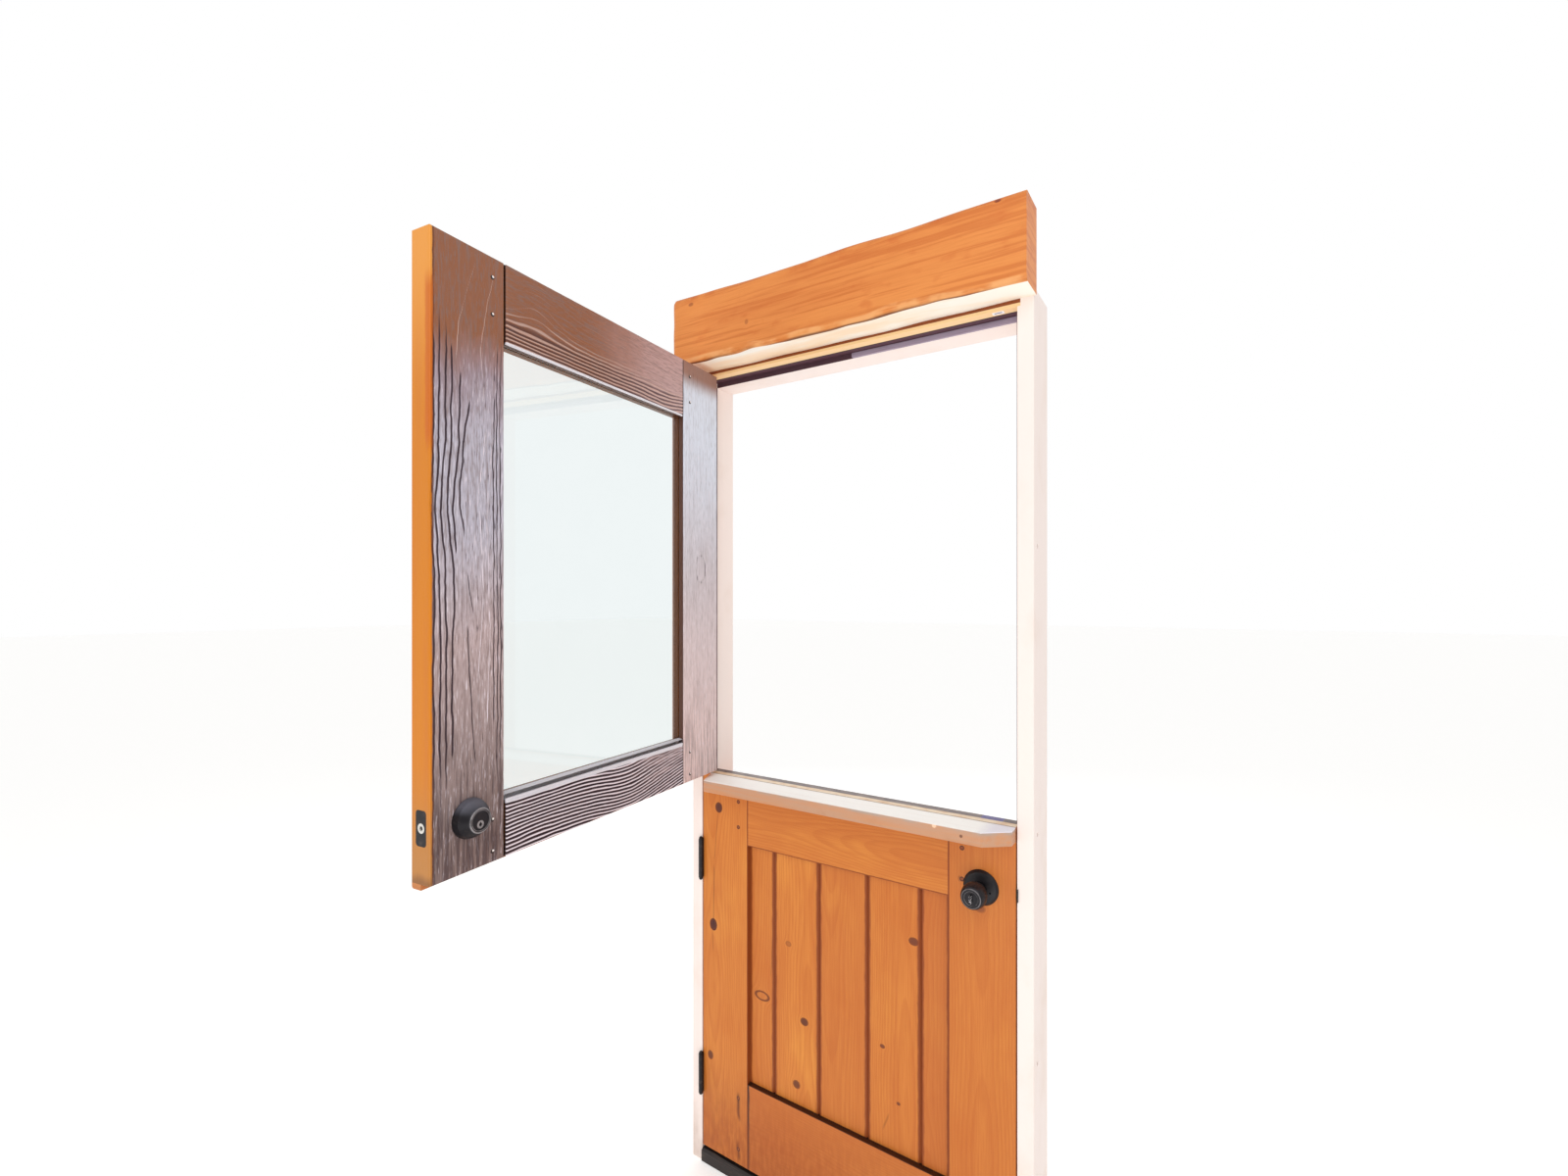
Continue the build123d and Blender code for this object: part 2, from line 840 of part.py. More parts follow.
def waney_edge(height, wane, inward):
    """Points of a hewn edge that wanders inwards from a level line."""
    step = 2 * lintel_end / (len(wane) - 1)
    return [
        (-lintel_end + number * step, height + inward * share * lintel_wane)
        for number, share in enumerate(wane)
    ]


with BuildPart() as lintel_beam:
    with BuildSketch(Plane.XZ) as front:
        with BuildLine():
            lower_edge = Spline(*waney_edge(lintel_low, lower_wane, 1))
            upper_edge = Spline(*waney_edge(lintel_high, upper_wane, -1))
            Line(lower_edge @ 0, upper_edge @ 0)
            Line(lower_edge @ 1, upper_edge @ 1)
        make_face()
    extrude(front.sketch, amount=lintel_thickness)
    front_edges = lintel_beam.faces().sort_by(Axis.Y)[0].edges()
    chamfer(front_edges, lintel_chamfer)
keep(lintel_beam, "lintel_beam")


# Butt hinges
def knuckle_zone(middle, number):
    """The lower and upper end of one knuckle, counted from the bottom."""
    pitch = hinge_height / knuckle_count
    low = middle - hinge_height / 2 + number * pitch
    return low + knuckle_gap / 2, low + pitch - knuckle_gap / 2


def hinge_plate(middle, face, inward, first_knuckle):
    """One plate with its knuckles: face is its flush face, inward the way into the wood."""
    back = face + inward * plate_thickness
    near, far = min(face, back), max(face, back)
    z0, z1 = middle - hinge_height / 2, middle + hinge_height / 2
    clear_of_barrel = pin_y + barrel_radius + knuckle_gap
    block(near, far, clear_of_barrel, plate_reach, z0, z1)
    for number in range(first_knuckle, knuckle_count, 2):
        low, high = knuckle_zone(middle, number)
        block(near, far, pin_y, clear_of_barrel, low, high)
        rod((pin_x, pin_y, low), (0, 0, 1), barrel_radius, high - low)
    bore = pin_radius + pin_clearance
    rod((pin_x, pin_y, z0), (0, 0, 1), bore, hinge_height, Mode.SUBTRACT)
    screw_holes(plate_screws(middle, face), (inward, 0, 0))


for number, middle in enumerate(lower_hinges + upper_hinges):
    with BuildPart() as jamb_plate:
        hinge_plate(middle, -jamb_face, -1, 0)
    keep(jamb_plate, f"jamb_hinge_plate_{number + 1}")

for number, middle in enumerate(lower_hinges):
    with BuildPart() as leaf_plate:
        hinge_plate(middle, hinge_edge, 1, 1)
    keep(leaf_plate, f"lower_hinge_plate_{number + 1}")

for number, middle in enumerate(upper_hinges):
    with BuildPart() as leaf_plate:
        hinge_plate(middle, hinge_edge, 1, 1)
    keep(leaf_plate, f"upper_hinge_plate_{number + 1}", upper_leaf_angle)

with BuildPart() as hinge_pins:
    for middle in lower_hinges + upper_hinges:
        half = hinge_height / 2
        tip = half + pin_tip_height
        outline = (
            (0, -tip),
            (pin_tip_radius * 0.5, -tip),
            (pin_tip_radius, -half - pin_tip_height * 0.5),
            (pin_tip_radius * 0.9, -half + knuckle_gap / 2),
            (pin_radius, -half + knuckle_gap / 2),
            (pin_radius, half - knuckle_gap / 2),
            (pin_tip_radius * 0.9, half - knuckle_gap / 2),
            (pin_tip_radius, half + pin_tip_height * 0.5),
            (pin_tip_radius * 0.5, tip),
            (0, tip),
        )
        turned(outline, (pin_x, pin_y, middle), (0, 0, 1))
keep(hinge_pins, "hinge_pins")


# Lock cases, bolts and strikes
def faceplate(height):
    """The flush plate on a leaf's edge."""
    rounded_plate(
        lock_edge - faceplate_thickness,
        lock_edge,
        mid_leaf,
        height,
        faceplate_width,
        faceplate_height,
        faceplate_corner,
    )


latch_channel_width = latch_bolt_width + 2 * sliding_clearance
latch_channel_height = latch_bolt_height + 2 * sliding_clearance
with BuildPart() as latch_case:
    faceplate(latch_height)
    rod((lock_edge, mid_leaf, latch_height), TO_HINGES, case_radius, backset - latch_case_reach)
    with Locations((lock_x + backset / 2, mid_leaf, latch_height)):
        Box(backset * 2, latch_channel_width, latch_channel_height, mode=Mode.SUBTRACT)
    screw_holes(faceplate_screws(latch_height), TO_HINGES)
keep(latch_case, "latch_case")

latch_tail = lock_x + knob_shank_radius + latch_throw + latch_tail_gap
latch_tip = lock_edge + latch_throw
with BuildPart() as latch_bolt:
    with BuildSketch(Plane.XY.offset(latch_height - latch_bolt_height / 2)):
        with BuildLine():
            Polyline(
                (latch_tail, mid_leaf - latch_bolt_width / 2),
                (latch_tip, mid_leaf - latch_bolt_width / 2),
                (latch_tip, mid_leaf - latch_bolt_width / 2 + arris * 2),
                (lock_edge + arris, mid_leaf + latch_bolt_width / 2),
                (latch_tail, mid_leaf + latch_bolt_width / 2),
                close=True,
            )
        make_face()
    extrude(amount=latch_bolt_height)
keep(latch_bolt, "latch_bolt")

with BuildPart() as latch_strike:
    rounded_plate(
        jamb_face,
        jamb_face + strike_thickness,
        mid_leaf,
        latch_height,
        strike_width,
        latch_strike_height,
        strike_corner,
    )
    block(
        jamb_face,
        jamb_face + strike_thickness,
        -threshold_front,
        mid_leaf,
        latch_height - lip_half,
        latch_height + lip_half,
    )
    with Locations((jamb_face, mid_leaf, latch_height)):
        Box(
            strike_thickness * 4,
            latch_channel_width + latch_hole_margin,
            latch_channel_height + latch_hole_margin,
            mode=Mode.SUBTRACT,
        )
    screw_holes(strike_screws(latch_height, latch_strike_height), TO_LOCK)
keep(latch_strike, "latch_strike")

with BuildPart() as deadbolt_case:
    faceplate(deadbolt_height)
    rod((lock_edge, mid_leaf, deadbolt_height), TO_HINGES, case_radius, backset - deadbolt_case_reach)
    channel = bolt_radius + turning_clearance
    rod((lock_edge, mid_leaf, deadbolt_height), TO_HINGES, channel, backset, Mode.SUBTRACT)
    screw_holes(faceplate_screws(deadbolt_height), TO_HINGES)
keep(deadbolt_case, "deadbolt_case", upper_leaf_angle)

with BuildPart() as deadbolt_bolt:
    bolt_end = (lock_edge, mid_leaf, deadbolt_height)
    rod(bolt_end, TO_HINGES, bolt_radius, backset - bolt_tail_reach)
    rod(bolt_end, TO_HINGES, bolt_core_radius, bolt_core_depth, Mode.SUBTRACT)
keep(deadbolt_bolt, "deadbolt_bolt", upper_leaf_angle)

with BuildPart() as deadbolt_strike:
    rounded_plate(
        jamb_face,
        jamb_face + strike_thickness,
        mid_leaf,
        deadbolt_height,
        strike_width,
        deadbolt_strike_height,
        strike_corner,
    )
    strike_hole = bolt_radius + strike_hole_margin
    rod(
        (jamb_face, mid_leaf, deadbolt_height),
        TO_LOCK,
        strike_hole,
        strike_thickness,
        Mode.SUBTRACT,
    )
    screw_holes(strike_screws(deadbolt_height, deadbolt_strike_height), TO_LOCK)
keep(deadbolt_strike, "deadbolt_strike")

# Knob set of the lower leaf
rose_outline = (
    (knob_shank_radius + turning_clearance, 0),
    (rose_radius, 0),
    (rose_radius, rose_lip),
    (rose_radius * 0.88, rose_height * 0.75),
    (knob_neck_radius + rose_lip, rose_height),
    (knob_shank_radius + turning_clearance, rose_height),
)
knob_seats = {
    "inner": ((lock_x, 0, latch_height), INWARDS),
    "outer": ((lock_x, leaf_thickness, latch_height), OUTWARDS),
}


def knob(start, direction):
    """A turned knob with a rim round its dished face and a recess for the button."""
    seat = Plane(origin=start, z_dir=direction)
    rim_edge = knob_face_radius - knob_rim_width
    button_bore = button_radius + turning_clearance
    with BuildSketch(Plane(origin=start, x_dir=seat.x_dir, z_dir=-seat.y_dir)) as profile:
        with BuildLine():
            Polyline(
                (0, knob_height - button_recess),
                (0, -knob_shank_depth),
                (knob_shank_radius, -knob_shank_depth),
                (knob_shank_radius, rose_height + turning_clearance),
                (knob_neck_radius, rose_height + turning_clearance),
                (knob_neck_radius, knob_neck_height),
            )
            ThreePointArc(
                (knob_neck_radius, knob_neck_height),
                (knob_radius, knob_belly),
                (knob_face_radius + knob_rim, knob_height - knob_rim),
            )
            Polyline(
                (knob_face_radius + knob_rim, knob_height - knob_rim),
                (knob_face_radius, knob_height),
                (rim_edge, knob_height),
                (rim_edge - knob_dish, knob_height - knob_dish),
                (button_bore, knob_height - knob_dish),
                (button_bore, knob_height - button_recess),
                (0, knob_height - button_recess),
            )
        make_face()
    revolve(profile.sketch, axis=Axis(start, direction))


for side, (start, direction) in knob_seats.items():
    with BuildPart() as rose:
        turned(rose_outline, start, direction)
        if side == "inner":
            hole_top = (lock_x + rose_hole_offset, -rose_height, latch_height - rose_hole_drop)
            rod(hole_top, OUTWARDS, rose_hole_radius, rose_hole_depth + rose_lip, Mode.SUBTRACT)
    keep(rose, f"{side}_rose")
    with BuildPart() as knob_body:
        knob(start, direction)
    keep(knob_body, f"{side}_knob")

with BuildPart() as turn_button:
    button_base = knob_height - button_recess + button_bottom_gap
    button_length = button_recess - knob_dish
    button_face = -button_base - button_length
    rod((lock_x, -button_base, latch_height), INWARDS, button_radius, button_length)
    with Locations((lock_x, button_face - button_grip_height / 2, latch_height)):
        Box(button_grip_thickness, button_grip_height, button_radius * 1.7)
keep(turn_button, "turn_button")

# Deadbolt set of the upper leaf
with BuildPart() as deadbolt_collar:
    ring_edge = collar_face_radius - collar_ring
    groove_edge = ring_edge - collar_groove
    disc_edge = groove_edge - collar_inner_ring
    collar_outline = (
        (0, 0),
        (collar_radius, 0),
        (collar_radius, collar_lip),
        (collar_shoulder_radius, collar_shoulder_height),
        (collar_face_radius, collar_height - arris),
        (collar_face_radius - arris, collar_height),
        (ring_edge, collar_height),
        (ring_edge, collar_height - collar_groove_depth),
        (groove_edge, collar_height - collar_groove_depth),
        (groove_edge, collar_height - collar_step),
        (disc_edge, collar_height - collar_step),
        (disc_edge, collar_height - collar_recess),
        (0, collar_height - collar_recess),
    )
    turned(collar_outline, (lock_x, leaf_thickness, deadbolt_height), OUTWARDS)
    plug_bore = plug_radius + turning_clearance
    rod((lock_x, leaf_thickness, plug_height), OUTWARDS, plug_bore, collar_height, Mode.SUBTRACT)
keep(deadbolt_collar, "deadbolt_collar", upper_leaf_angle)

with BuildPart() as key_plug:
    plug_face = leaf_thickness + collar_height - collar_recess
    rod(
        (lock_x, plug_face, plug_height),
        INWARDS,
        plug_radius,
        collar_height - collar_recess + plug_depth,
    )
    with Locations((lock_x, plug_face, plug_height)):
        Box(key_slot_width, key_slot_depth * 2, key_slot_height, mode=Mode.SUBTRACT)
keep(key_plug, "key_plug", upper_leaf_angle)

with BuildPart() as deadbolt_rose:
    plate_outline = (
        (turn_shaft_radius + turning_clearance, 0),
        (turn_plate_radius, 0),
        (turn_plate_radius, rose_lip),
        (turn_plate_radius * 0.86, turn_plate_height),
        (turn_shaft_radius + turning_clearance, turn_plate_height),
    )
    turned(plate_outline, (lock_x, 0, deadbolt_height), INWARDS)
keep(deadbolt_rose, "deadbolt_rose", upper_leaf_angle)

with BuildPart() as thumb_turn:
    shaft_length = turn_shaft_depth + turn_neck_height
    rod((lock_x, turn_shaft_depth, deadbolt_height), INWARDS, turn_shaft_radius, shaft_length)
    grip_middle = (lock_x, -turn_neck_height - turn_grip_height / 2, deadbolt_height)
    with Locations(grip_middle):
        Box(turn_grip_thickness, turn_grip_height, turn_grip_length)
    upright_edges = thumb_turn.edges().filter_by(Axis.X).group_by(Axis.Y)[0]
    chamfer(upright_edges, arris * 3)
keep(thumb_turn, "thumb_turn", upper_leaf_angle)


# Screws, one set for each body that carries them
def leaf_screws(hinge_heights, lock_height):
    """The hinge and faceplate screws of one leaf."""
    for middle in hinge_heights:
        for place in plate_screws(middle, hinge_edge):
            screw(place, TO_LOCK)
    for place in faceplate_screws(lock_height):
        screw(place, TO_HINGES)


with BuildPart() as lower_leaf_screws:
    leaf_screws(lower_hinges, latch_height)
keep(lower_leaf_screws, "lower_leaf_screws")

with BuildPart() as upper_leaf_screws:
    leaf_screws(upper_hinges, deadbolt_height)
keep(upper_leaf_screws, "upper_leaf_screws", upper_leaf_angle)

with BuildPart() as frame_screws:
    for middle in lower_hinges + upper_hinges:
        for place in plate_screws(middle, -jamb_face):
            screw(place, TO_HINGES)
    for height, plate_height in (
        (latch_height, latch_strike_height),
        (deadbolt_height, deadbolt_strike_height),
    ):
        for place in strike_screws(height, plate_height):
            screw(place, TO_LOCK)
keep(frame_screws, "frame_screws")
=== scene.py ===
"""Looks for a stable door in its timber frame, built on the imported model.

The file is laid out as an add-on: sizes and colours are properties, each group of
pieces is an operator, and a panel in the sidebar lists them. Coordinates are the
model's own, in metres: X to the right seen from inside, Y outwards, Z up. Pieces of
the upper leaf are worked out as if it were closed and then swung open with it.
"""

import json
import math

import bmesh
import bpy
import numpy as np
from bpy.props import FloatProperty, FloatVectorProperty, PointerProperty
from mathutils import Matrix, Vector


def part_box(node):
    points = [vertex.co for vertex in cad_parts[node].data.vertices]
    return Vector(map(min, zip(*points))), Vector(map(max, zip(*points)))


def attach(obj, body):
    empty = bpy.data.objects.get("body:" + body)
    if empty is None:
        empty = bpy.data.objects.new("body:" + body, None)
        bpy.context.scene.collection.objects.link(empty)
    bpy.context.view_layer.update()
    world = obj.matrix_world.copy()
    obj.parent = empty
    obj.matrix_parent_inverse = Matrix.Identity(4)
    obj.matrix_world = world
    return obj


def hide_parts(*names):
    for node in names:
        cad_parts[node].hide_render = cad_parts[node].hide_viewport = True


bl_info = {
    "name": "Stable Door Looks",
    "version": (1, 0, 0),
    "blender": (4, 5, 0),
    "location": "View3D > Sidebar > Stable Door",
    "description": "Dresses the packed stable door in its woods, paint, glass and hardware",
    "category": "Object",
}

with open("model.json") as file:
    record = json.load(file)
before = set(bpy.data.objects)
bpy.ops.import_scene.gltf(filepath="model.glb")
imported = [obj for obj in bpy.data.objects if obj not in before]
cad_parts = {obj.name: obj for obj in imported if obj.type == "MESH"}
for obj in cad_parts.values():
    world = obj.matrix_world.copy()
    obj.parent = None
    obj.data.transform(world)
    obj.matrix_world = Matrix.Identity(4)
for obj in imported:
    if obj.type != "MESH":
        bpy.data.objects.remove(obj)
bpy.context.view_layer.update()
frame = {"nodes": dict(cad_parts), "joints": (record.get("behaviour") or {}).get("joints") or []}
nodes = frame["nodes"]

swing = next(joint for joint in frame["joints"] if joint["name"] == "upper_leaf_swing")
hinge_pin = Vector(swing["pos_m"])
open_angle = math.radians(-swing["range_deg"][0])
opening = (
    Matrix.Translation(hinge_pin)
    @ Matrix.Rotation(-open_angle, 4, "Z")
    @ Matrix.Translation(-hinge_pin)
)
closing = opening.inverted()


def closed_box(name):
    """The lowest and highest corner of an upper-leaf node, as if the leaf were closed."""
    corners = np.array([closing @ vertex.co for vertex in nodes[name].data.vertices])
    return Vector(corners.min(axis=0)), Vector(corners.max(axis=0))


def box_middle(box, axes="xz"):
    """The middle of a box along two axes."""
    low, high = box
    return tuple((getattr(low, axis) + getattr(high, axis)) / 2 for axis in axes)


def peg_places(name, undo):
    """The (across, along) centres of a leaf's pegs after undoing the leaf's turn."""
    groups = []
    for vertex in nodes[name].data.vertices:
        point = undo @ vertex.co
        for group in groups:
            if math.hypot(point.x - group[0].x, point.z - group[0].z) < peg_reach:
                group.append(point)
                break
        else:
            groups.append([point])
    centres = [sum(points, Vector()) / len(points) for points in groups]
    return [(centre.x, centre.z) for centre in centres]


# Edges and faces that the finishes and reliefs are drawn from
hinge_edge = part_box("lower_hinge_stile")[0].x
lock_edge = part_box("lower_lock_stile")[1].x
hinge_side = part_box("lower_hinge_stile")[1].x
lock_side = closed_box("upper_lock_stile")[0].x
leaf_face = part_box("lower_top_rail")[1].y
lower_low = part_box("lower_hinge_stile")[0].z
lower_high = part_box("lower_hinge_stile")[1].z
upper_low = closed_box("upper_lock_stile")[0].z
upper_high = closed_box("upper_lock_stile")[1].z
glass_face = closed_box("glass_pane")[1].y
top_rail_low = closed_box("upper_top_rail")[0].z
sill_high = closed_box("upper_bottom_rail")[1].z

# Half the width between the stiles and a little over, so that their inner edges are reveals
half_sight = 0.2641
# Points nearer than this to each other belong to one peg
peg_reach = 0.012
# Growth rings of the pine: their spacing, the trunk's heart behind the face, their strength
ring_spacing = 0.0046
ring_heart = 0.03
ring_share = 0.3
# Edges that turn by more than this are rounded
arris_angle = math.radians(50)
to_mm = 1000

# Stage: the floor, the light of the studio's walls, and the camera
floor_reach = 40.0
floor_drop = 0.0008
floor_glow = 0.36
wall_light = 0.64
camera_place = (0.7628, -1.3860, 1.4917)
camera_turn = math.radians(33.343)
camera_shift = 0.00764


def from_photo(red, green, blue):
    """A colour given in steps of 255, as the linear values that Blender wants."""
    steps = [channel / 255 for channel in (red, green, blue)]
    return tuple(s / 12.92 if s <= 0.04045 else ((s + 0.055) / 1.055) ** 2.4 for s in steps)


def colour(name, text, red, green, blue):
    """A colour property with its default."""
    return FloatVectorProperty(
        name=name,
        description=text,
        subtype="COLOR",
        size=3,
        min=0.0,
        max=1.0,
        default=from_photo(red, green, blue),
    )


def length(name, text, default):
    """A length property in metres with its default."""
    return FloatProperty(name=name, description=text, default=default, min=0.0, unit="LENGTH")


class DoorSizes(bpy.types.PropertyGroup):
    """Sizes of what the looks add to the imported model."""

    weathered_layer: length("Weathered layer", "Thickness of the relief on the outer face", 0.005)
    groove_depth: length("Groove depth", "Depth of the eroded grain", 0.0016)
    ridge_height: length("Ridge height", "Height of the hard grain left standing", 0.0006)
    ridge_spacing: length("Ridge spacing", "Distance between the ridges of a rail", 0.0072)
    board_arris: length("Board arris", "Roundness of the boards' edges", 0.0009)
    joint_gap: length("Joint gap", "Shrunk gap where a weathered rail meets a stile", 0.0050)
    lintel_bevel: length("Lintel bevel", "Mean size of the lintel's hewn lower edge", 0.013)
    lintel_hollow: length("Lintel hollows", "Depth of the lintel's hewn hollows", 0.002)
    camera_lens: FloatProperty(
        name="Lens", description="Focal length on a 36 mm sensor", default=15.52, unit="CAMERA"
    )


class DoorColours(bpy.types.PropertyGroup):
    """Colours of the door's finishes."""

    pine: colour("Pine", "Clear-finished pine of the lower leaf", 217, 134, 58)
    pine_ring: colour("Pine rings", "Late growth in the pine", 188, 96, 36)
    # Dark joints between the boards, and the painted shadow under the top rail
    pine_joint_and_shadow: colour("Pine grooves", "Joints between the boards", 132, 60, 24)
    # Dirt, a darker corner, and painted shade in the groove above the bottom rail
    grime_and_shade: colour("Grime", "Dirt in the corners and on the ledges", 40, 26, 20)
    knot: colour("Knots", "Centre of a knot", 84, 40, 32)
    edge_pine: colour("Edge pine", "Free edge of the upper leaf", 206, 122, 14)
    stain_brown: colour("Brown stain", "Stain on the sheltered top", 143, 90, 62)
    # Painted reflection of the sky on the stain, lilac in the middle
    lilac_sheen: colour("Faded stain", "Faded sheen of the middle", 186, 181, 194)
    # Painted reflection of the sky on the stain, rosy lower down
    rosy_sheen: colour("Rosy stain", "Lower part of the faded stain", 186, 164, 164)
    stain_foot: colour("Foot of the stain", "Stain at the lower end", 128, 108, 104)
    # Stain in the eroded grain, and painted shade in the gaps round the boards
    stain_deep_and_shade: colour("Stain in the grooves", "Stain left in the eroded grain", 46, 26, 36)
    # Painted highlights on the ridges of the hard grain
    ridge_highlight: colour("Stain ridges", "Worn ridges of the hard grain", 236, 224, 232)
    reveal: colour("Reveals", "Stained edges round the glass", 92, 60, 48)
    lintel: colour("Lintel", "Hewn lintel", 230, 144, 72)
    lintel_dark: colour("Lintel streaks", "Dark streaks of the lintel", 196, 98, 36)
    # Painted light: the pale peach of the lintel's sunlit underside
    lintel_underside_light: colour("Lintel underside", "Bleached underside of the lintel", 255, 248, 236)
    # Painted light: the near-white top of the shelf in sunlight
    shelf_top_sunlit: colour("Shelf top", "Sun-bleached top of the shelf", 254, 250, 244)
    shelf_front: colour("Shelf front", "Front of the shelf", 196, 150, 120)
    cream: colour("Cream paint", "Painted jambs and stops", 250, 235, 228)
    black_metal: colour("Black metal", "Hinges and locks", 26, 24, 28)
    # Rubbed rims of the locks, and painted glints
    rubbed_metal_and_glints: colour("Rubbed metal", "Worn rims of the locks", 190, 184, 186)
    steel: colour("Steel", "Bolts", 225, 222, 216)
    seal_lilac: colour("Seal", "Weather seal", 172, 156, 176)
    seal_dark: colour("Dark seal", "Shadowed strip of the seal", 82, 54, 64)
    threshold: colour("Threshold", "Dark metal threshold", 42, 34, 32)
    glass: colour("Glass", "Faint tint of the pane", 240, 246, 246)


def sizes():
    """The sizes in use."""
    return bpy.context.scene.door_sizes


def colours():
    """The colours in use."""
    return bpy.context.scene.door_colours


# Shader maths
class Value:
    """A socket of a node tree, used in a sum as a number is."""

    def __init__(self, nodes, socket):
        self.nodes = nodes
        self.socket = socket

    def worked(self, operation, first, second):
        """Add a Math node."""
        return self.nodes.add("ShaderNodeMath", {"operation": operation}, {0: first, 1: second})

    def part(self, number):
        """Another output of the same node."""
        return Value(self.nodes, self.socket.node.outputs[number])

    def __add__(self, other):
        return self.worked("ADD", self, other)

    def __radd__(self, other):
        return self.worked("ADD", other, self)

    def __sub__(self, other):
        return self.worked("SUBTRACT", self, other)

    def __rsub__(self, other):
        return self.worked("SUBTRACT", other, self)

    def __mul__(self, other):
        return self.worked("MULTIPLY", self, other)

    def __rmul__(self, other):
        return self.worked("MULTIPLY", other, self)

    def __truediv__(self, other):
        return self.worked("DIVIDE", self, other)

    def __rtruediv__(self, other):
        return self.worked("DIVIDE", other, self)

    def __pow__(self, other):
        return self.worked("POWER", self, other)

    def __rpow__(self, other):
        return self.worked("POWER", other, self)

    def __mod__(self, other):
        return self.worked("FLOORED_MODULO", self, other)

    def __rmod__(self, other):
        return self.worked("FLOORED_MODULO", other, self)

    def __abs__(self):
        return self.worked("ABSOLUTE", self, 0.0)


class Nodes:
    """A node tree, and the one way by which nodes are added to it."""

    def __init__(self, tree):
        self.tree = tree

    def fill(self, socket, value):
        """Give a socket its link or its constant."""
        if isinstance(value, Value):
            self.tree.links.new(value.socket, socket)
        elif isinstance(socket.default_value, (int, float)):
            socket.default_value = value
        else:
            size = len(socket.default_value)
            socket.default_value = (tuple(value) + (1.0,))[:size]

    def add(self, kind, settings, sockets, output=0):
        """Any node: its settings first, then the values or links of its sockets."""
        made = self.tree.nodes.new(kind)
        for name, setting in settings.items():
            if name == "stops":
                ramp = made.color_ramp
                while len(ramp.elements) < len(setting):
                    ramp.elements.new(1.0)
                for element, (position, tone) in zip(ramp.elements, setting):
                    element.position = position
                    element.color = tuple(tone) + (1.0,)
            else:
                setattr(made, name, setting)
        for name, value in sockets.items():
            self.fill(made.inputs[name], value)
        return Value(self, made.outputs[output])


class Finish(Nodes):
    """One material and the nodes that make it."""

    def __init__(self, name, metallic=0.0, roughness=0.5, coat=0.0, shine=0.5):
        self.material = bpy.data.materials.new(name)
        self.material.use_nodes = True
        super().__init__(self.material.node_tree)
        self.shader = self.tree.nodes["Principled BSDF"]
        self.set("Metallic", metallic)
        self.set("Roughness", roughness)
        self.set("Coat Weight", coat)
        self.set("Coat Roughness", 0.25)
        self.set("Specular IOR Level", shine)

    def set(self, name, value):
        """Set or link a socket of the surface shader."""
        self.fill(self.shader.inputs[name], value)

    def place(self, opened=False):
        """The point on the surface, with the upper leaf swung closed where asked."""
        point = self.add("ShaderNodeTexCoord", {}, {}, output="Object")
        if not opened:
            return point
        settings = {"rotation_type": "Z_AXIS"}
        sockets = {"Vector": point, "Center": tuple(hinge_pin), "Angle": open_angle}
        return self.add("ShaderNodeVectorRotate", settings, sockets)

    def split(self, vector):
        """The three parts of a vector."""
        first = self.add("ShaderNodeSeparateXYZ", {}, {0: vector})
        return [first.part(number) for number in range(3)]

    def joined(self, x, y, z):
        """A vector from its three parts."""
        return self.add("ShaderNodeCombineXYZ", {}, {0: x, 1: y, 2: z})

    def cloud(self, vector, scale, detail=3.0, distortion=0.0):
        """Soft noise from 0 to 1."""
        sockets = {
            "Vector": vector,
            "Scale": scale,
            "Detail": detail,
            "Roughness": 0.55,
            "Distortion": distortion,
        }
        return self.add("ShaderNodeTexNoise", {}, sockets)

    def noise(self, x, y, z, detail=3.0, distortion=0.0):
        """Soft noise from 0 to 1 that is stretched with its three parts."""
        return self.cloud(self.joined(x, y, z), 1.0, detail, distortion)

    def step(self, value, low, high, start=0.0, end=1.0):
        """A smooth step from start to end as a value goes from low to high."""
        sockets = {"Value": value, "From Min": low, "From Max": high, "To Min": start, "To Max": end}
        return self.add("ShaderNodeMapRange", {"interpolation_type": "SMOOTHSTEP"}, sockets)

    def mix(self, factor, first, second):
        """One colour over another."""
        settings = {"data_type": "RGBA", "clamp_factor": True}
        return self.add("ShaderNodeMix", settings, {0: factor, 6: first, 7: second}, output=2)

    def tint(self, first, second, value, low, high, most=1.0):
        """One colour over another by a smooth step from 0 to most."""
        return self.mix(self.step(value, low, high, 0.0, most), first, second)

    def bump(self, height, strength, distance):
        """Fine relief for the surface."""
        sockets = {"Height": height, "Strength": strength, "Distance": distance}
        return self.add("ShaderNodeBump", {}, sockets)

    def coloured(self, tone, relief, strength, distance):
        """Set the colour and the fine relief, and give the finish back."""
        self.set("Base Color", tone)
        self.set("Normal", self.bump(relief, strength, distance))
        return self

    def within(self, value, low, high, soft):
        """A soft-edged mask, 1 between low and high."""
        rising = self.step(value, low - soft, low)
        return rising * self.step(value, high, high + soft, 1.0, 0.0)

    def stroke(self, across, along, start, end, width):
        """A mask for a drawn line between two (across, along) points."""
        (across_0, along_0), (across_1, along_1) = start, end
        lean = (across_1 - across_0) / (along_1 - along_0)
        waver = (self.noise(along * 16, across_0, 0.0, 1.0) - 0.5) * width * 2
        aside = abs(across - across_0 - (along - along_0) * lean + waver)
        low, high = sorted((along_0, along_1))
        soft = min(0.02, (high - low) * 0.4)
        return self.step(aside, 0.0, width, 1.0, 0.0) * self.within(along, low + soft, high - soft, soft)

    def radius(self, across, along, centre):
        """Distance from a centre in a plane."""
        aside, ahead = across - centre[0], along - centre[1]
        return (aside * aside + ahead * ahead) ** 0.5


